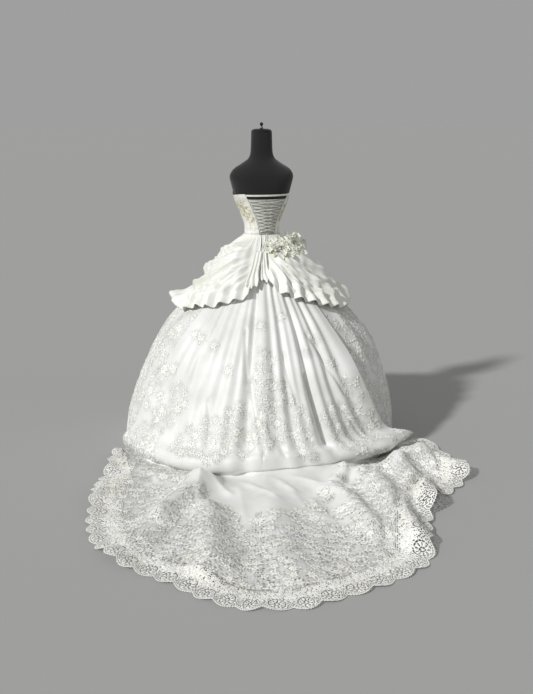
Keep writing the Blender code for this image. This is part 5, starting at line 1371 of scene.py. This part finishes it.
roses = (
    {"node": "rose_middle", "angle": 20.0, "height": 0.978, "size": 0.043, "spin": 0.2},
    {"node": "rose_low", "angle": 45.0, "height": 0.952, "size": 0.044, "spin": 1.1},
    {"node": "rose_upper", "angle": 46.0, "height": 0.992, "size": 0.034, "spin": 2.0},
    {"node": "rose_side", "angle": 70.0, "height": 0.986, "size": 0.038, "spin": 2.9},
)
roseRings = (
    # petals, tilt in degrees, reach, length and width as shares of the size, cupping, curl
    (3, 82, 0.02, 0.50, 0.42, 0.10, 0.02), (4, 70, 0.07, 0.56, 0.52, 0.14, 0.02),
    (5, 54, 0.12, 0.60, 0.60, 0.15, -0.03),
    (6, 34, 0.16, 0.64, 0.62, 0.12, -0.10), (7, 15, 0.20, 0.62, 0.60, 0.08, -0.16),
)
for rose in roses:
    grids = []
    luck = np.random.default_rng(int(rose["size"] * 1000) + int(rose["angle"]))
    for ring, (petals, tilt, reach, long, wide, cupping, curl) in enumerate(roseRings):
        for k in range(petals):
            size = rose["size"] * luck.uniform(0.93, 1.07)
            petal = petalGrid(long * size, wide * size, cupping * size, curl * size)
            petal[..., 2] += 0.02 * size * np.sin(petal[..., 0] / size * 14 + k)
            grids.append(petalAt(petal, rose["spin"] + 2 * math.pi * (k + 0.5 * (ring % 2)) / petals,
                                 math.radians(tilt + luck.uniform(-7, 7)), reach * size, 0.02 * size))
    normal = outwardAt(rose["angle"], rose["height"])
    low, high = (np.array(corner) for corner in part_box(rose["node"]))
    every = [stoodOn(g, normal) for g in grids]
    flat = np.concatenate([g.reshape(-1, 3) for g in every])
    scale = float(np.mean((high - low) / (flat.max(0) - flat.min(0))))
    shift = (low + high) / 2 - (flat.min(0) + flat.max(0)) / 2 * scale
    every = [g * scale for g in every]
    piece = manyGrids(rose["node"] + "_petals", [g + shift for g in every], rosePetal, 0.0005)
    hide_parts(rose["node"])

# Between the roses: small leaves that lie under them, and blossoms on the same spray.
def sprayLeaf(angle, height, turn, length, wide, lift=0.004):
    # a pointed outline folded along its midrib, its tip bent up
    along, across = np.linspace(0, 1, 8)[None, :], np.linspace(1, -1, 5)[:, None]
    x = across * wide / 2 * np.sin(math.pi * (0.06 + 0.92 * along)) ** 0.9
    y = along * length
    z = 0.10 * length * np.abs(across) + 0.25 * length * along**2 + 0.002 * np.sin(6 * along + angle)
    grid = np.stack(np.broadcast_arrays(x * math.cos(turn) - y * math.sin(turn),
                                        x * math.sin(turn) + y * math.cos(turn), z), -1)
    foot = swung(overskirtAt(np.array([angle]), ballRow(np.array([height])), lift))[0]
    return stoodOn(grid, outwardAt(angle, height)) + foot


def blossom(angle, height, size, spin, lift=0.012):
    # five open petals
    grids = [petalAt(petalGrid(size, 1.05 * size, 0.2 * size, -0.12 * size, steps=(7, 6)), spin + 2 * math.pi * k / 5,
                     math.radians(24), 0.08 * size, 0.0) for k in range(5)]
    foot = swung(overskirtAt(np.array([angle]), ballRow(np.array([height])), lift))[0]
    return [stoodOn(g, outwardAt(angle, height)) + foot for g in grids]


luck = np.random.default_rng(77)
sprayLeaves, blossoms = [], []
for angle, height, reach in ((20.0, 0.978, 0.036), (45.0, 0.952, 0.038), (46.0, 0.992, 0.030), (70.0, 0.986, 0.032)):
    for k in range(5):
        turn = 2 * math.pi * (k + luck.uniform(-0.25, 0.25)) / 5
        sprayLeaves.append(sprayLeaf(angle - math.degrees(reach * 0.5 * math.sin(turn) / ball["hipRadius"]),
                                     height + reach * 0.35 * math.cos(turn), turn, luck.uniform(0.026, 0.036),
                                     luck.uniform(0.014, 0.019)))
for angle, height, size in ((31.0, 0.990, 0.026), (33.0, 0.962, 0.024), (27.0, 0.946, 0.020), (38.0, 0.976, 0.025),
                            (56.0, 0.968, 0.024), (58.0, 0.990, 0.021), (35.0, 1.006, 0.019), (12.0, 0.992, 0.019),
                            (36.0, 0.936, 0.020), (64.0, 0.962, 0.020), (10.0, 0.966, 0.018), (50.0, 0.928, 0.018)):
    blossoms += blossom(angle, height, size, luck.uniform(0, 6))
for name, grids, material in (("spray_leaves", sprayLeaves, organzaLeaf), ("spray_blossoms", blossoms, rosePetal)):
    manyGrids(name, grids, material, 0)

leaves = (
    {"node": "leaf_low", "angle": 30.0, "height": 0.935, "length": 0.070, "width": 0.030, "turn": -110.0},
    {"node": "leaf_side", "angle": 92.0, "height": 0.980, "length": 0.066, "width": 0.028, "turn": 40.0},
)
for leaf in leaves:
    # a pointed outline, folded a little along its midrib, with veins as a slanted cosine and waved edges
    along = np.linspace(0, 1, 34)[:, None]
    across = np.linspace(1, -1, 21)[None, :]
    half = leaf["width"] / 2 * (0.06 + 0.94 * np.sin(math.pi * (0.05 + 0.92 * along)) ** 0.85)
    heading = math.radians(leaf["turn"])
    x, y = along * leaf["length"], across * half
    veins = 0.0005 * np.cos(2 * math.pi * (along * 9 - np.abs(across) * 2.2)) * np.abs(across)
    z = 0.004 * np.abs(across) + 0.010 * along**2 + veins + 0.001 * np.sin(along * 19) * np.abs(across) ** 2
    grid = np.stack(np.broadcast_arrays(x * math.cos(heading) - y * math.sin(heading),
                                        x * math.sin(heading) + y * math.cos(heading), z), -1)
    grid = settled(stoodOn(grid, outwardAt(leaf["angle"], leaf["height"])), leaf["node"])
    piece = clothPiece(leaf["node"] + "_cloth", grid, organzaLeaf, 0.0006)
    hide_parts(leaf["node"])

buds = (
    {"node": "bud_upper", "angle": 60.0, "height": 1.000, "size": 0.011},
    {"node": "bud_low", "angle": 16.0, "height": 0.940, "size": 0.010},
)
for bud in buds:
    # a tight bud of wrapped petals: three spiral steps round a pointed egg
    turn = np.linspace(0, 2 * math.pi, 49)[:-1][:, None]
    down = np.linspace(0.02, 0.98, 30)[None, :]
    polarAngle = down * math.pi
    wrap = 1 + 0.10 * (np.mod(turn / (2 * math.pi) * 3 + down * 1.6, 1.0) - 0.5)
    radius = 0.8 * bud["size"] * np.sin(polarAngle) * wrap
    z = 1.2 * bud["size"] * np.cos(polarAngle) * (1 + 0.12 * np.cos(polarAngle))
    grid = np.stack(np.broadcast_arrays(radius * np.cos(turn), radius * np.sin(turn), z), -1)
    grid = settled(stoodOn(grid, outwardAt(bud["angle"], bud["height"])), bud["node"])
    faces = quadsOf(48, 30, closed=True)
    number = np.arange(48 * 30).reshape(48, 30)
    ends = [[number[0, e], number[k, e], number[k + 1, e], number[min(k + 2, 47), e]][::flip]
            for e, flip in ((0, 1), (29, -1)) for k in range(1, 46, 2)]
    uv = np.stack(np.broadcast_arrays(turn * bud["size"], down * 0.03), -1).reshape(-1, 2)
    piece = meshPiece(bud["node"] + "_petals", grid.reshape(-1, 3), np.vstack([faces, np.array(ends)]), rosePetal, uv)
    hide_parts(bud["node"])
print("flowers made")

# Floor, soft studio light and the camera at the height and side from which the gown is seen.
studio = {"floor": "#aeaead", "floorSize": 600, "world": "#e6e6e6", "worldStrength": 0.439, "aim": (0.0, -0.45, 0.6),
          "key": ((-4.6, -2.3, 3.9), 2.5, 4.0), "fill": ((3.2, -4.4, 2.2), 0.10, 30.0)}
# the plain display curve, so that white cloth stays white
bpy.context.scene.view_settings.view_transform = "Standard"
bpy.ops.mesh.primitive_plane_add(size=studio["floorSize"], location=(0, 0, 0))
floor = bpy.context.object
floor.name = "studio_floor"
# Painted studio floor: matt, so that it takes a soft shadow and no reflection.
floor.data.materials.append(newMaterial("pale_studio_floor", studio["floor"], {"Roughness": 0.75})[0])
world = bpy.data.worlds.new("studio")
bpy.context.scene.world = world
world.use_nodes = True
world.node_tree.nodes["Background"].inputs["Color"].default_value = linear(studio["world"])
world.node_tree.nodes["Background"].inputs["Strength"].default_value = studio["worldStrength"]
for name in ("key", "fill"):
    place, strength, softness = studio[name]
    lamp = bpy.data.lights.new(name + "_light", "SUN")
    lamp.energy, lamp.angle = strength, math.radians(softness)
    light = bpy.data.objects.new(name + "_light", lamp)
    light.location = place
    light.rotation_euler = (Vector(studio["aim"]) - Vector(place)).to_track_quat("-Z", "Y").to_euler()
    bpy.context.scene.collection.objects.link(light)

view = {"azimuth": -22.0, "distance": 4.9, "height": 1.6, "pitch": 13.095, "yaw": -0.289, "lens": 50.0,
        "sensor": 36.0}
camera = bpy.data.objects.new("camera", bpy.data.cameras.new("camera"))
camera.data.lens = view["lens"]
camera.data.sensor_fit = "VERTICAL"
camera.data.sensor_height = view["sensor"]
side = math.radians(view["azimuth"])
camera.location = (view["distance"] * math.sin(side), -view["distance"] * math.cos(side), view["height"])
camera.rotation_euler = (math.radians(90 - view["pitch"]), 0, side + math.radians(view["yaw"]))
bpy.context.scene.collection.objects.link(camera)
bpy.context.scene.camera = camera
print("stage, lights and camera set")
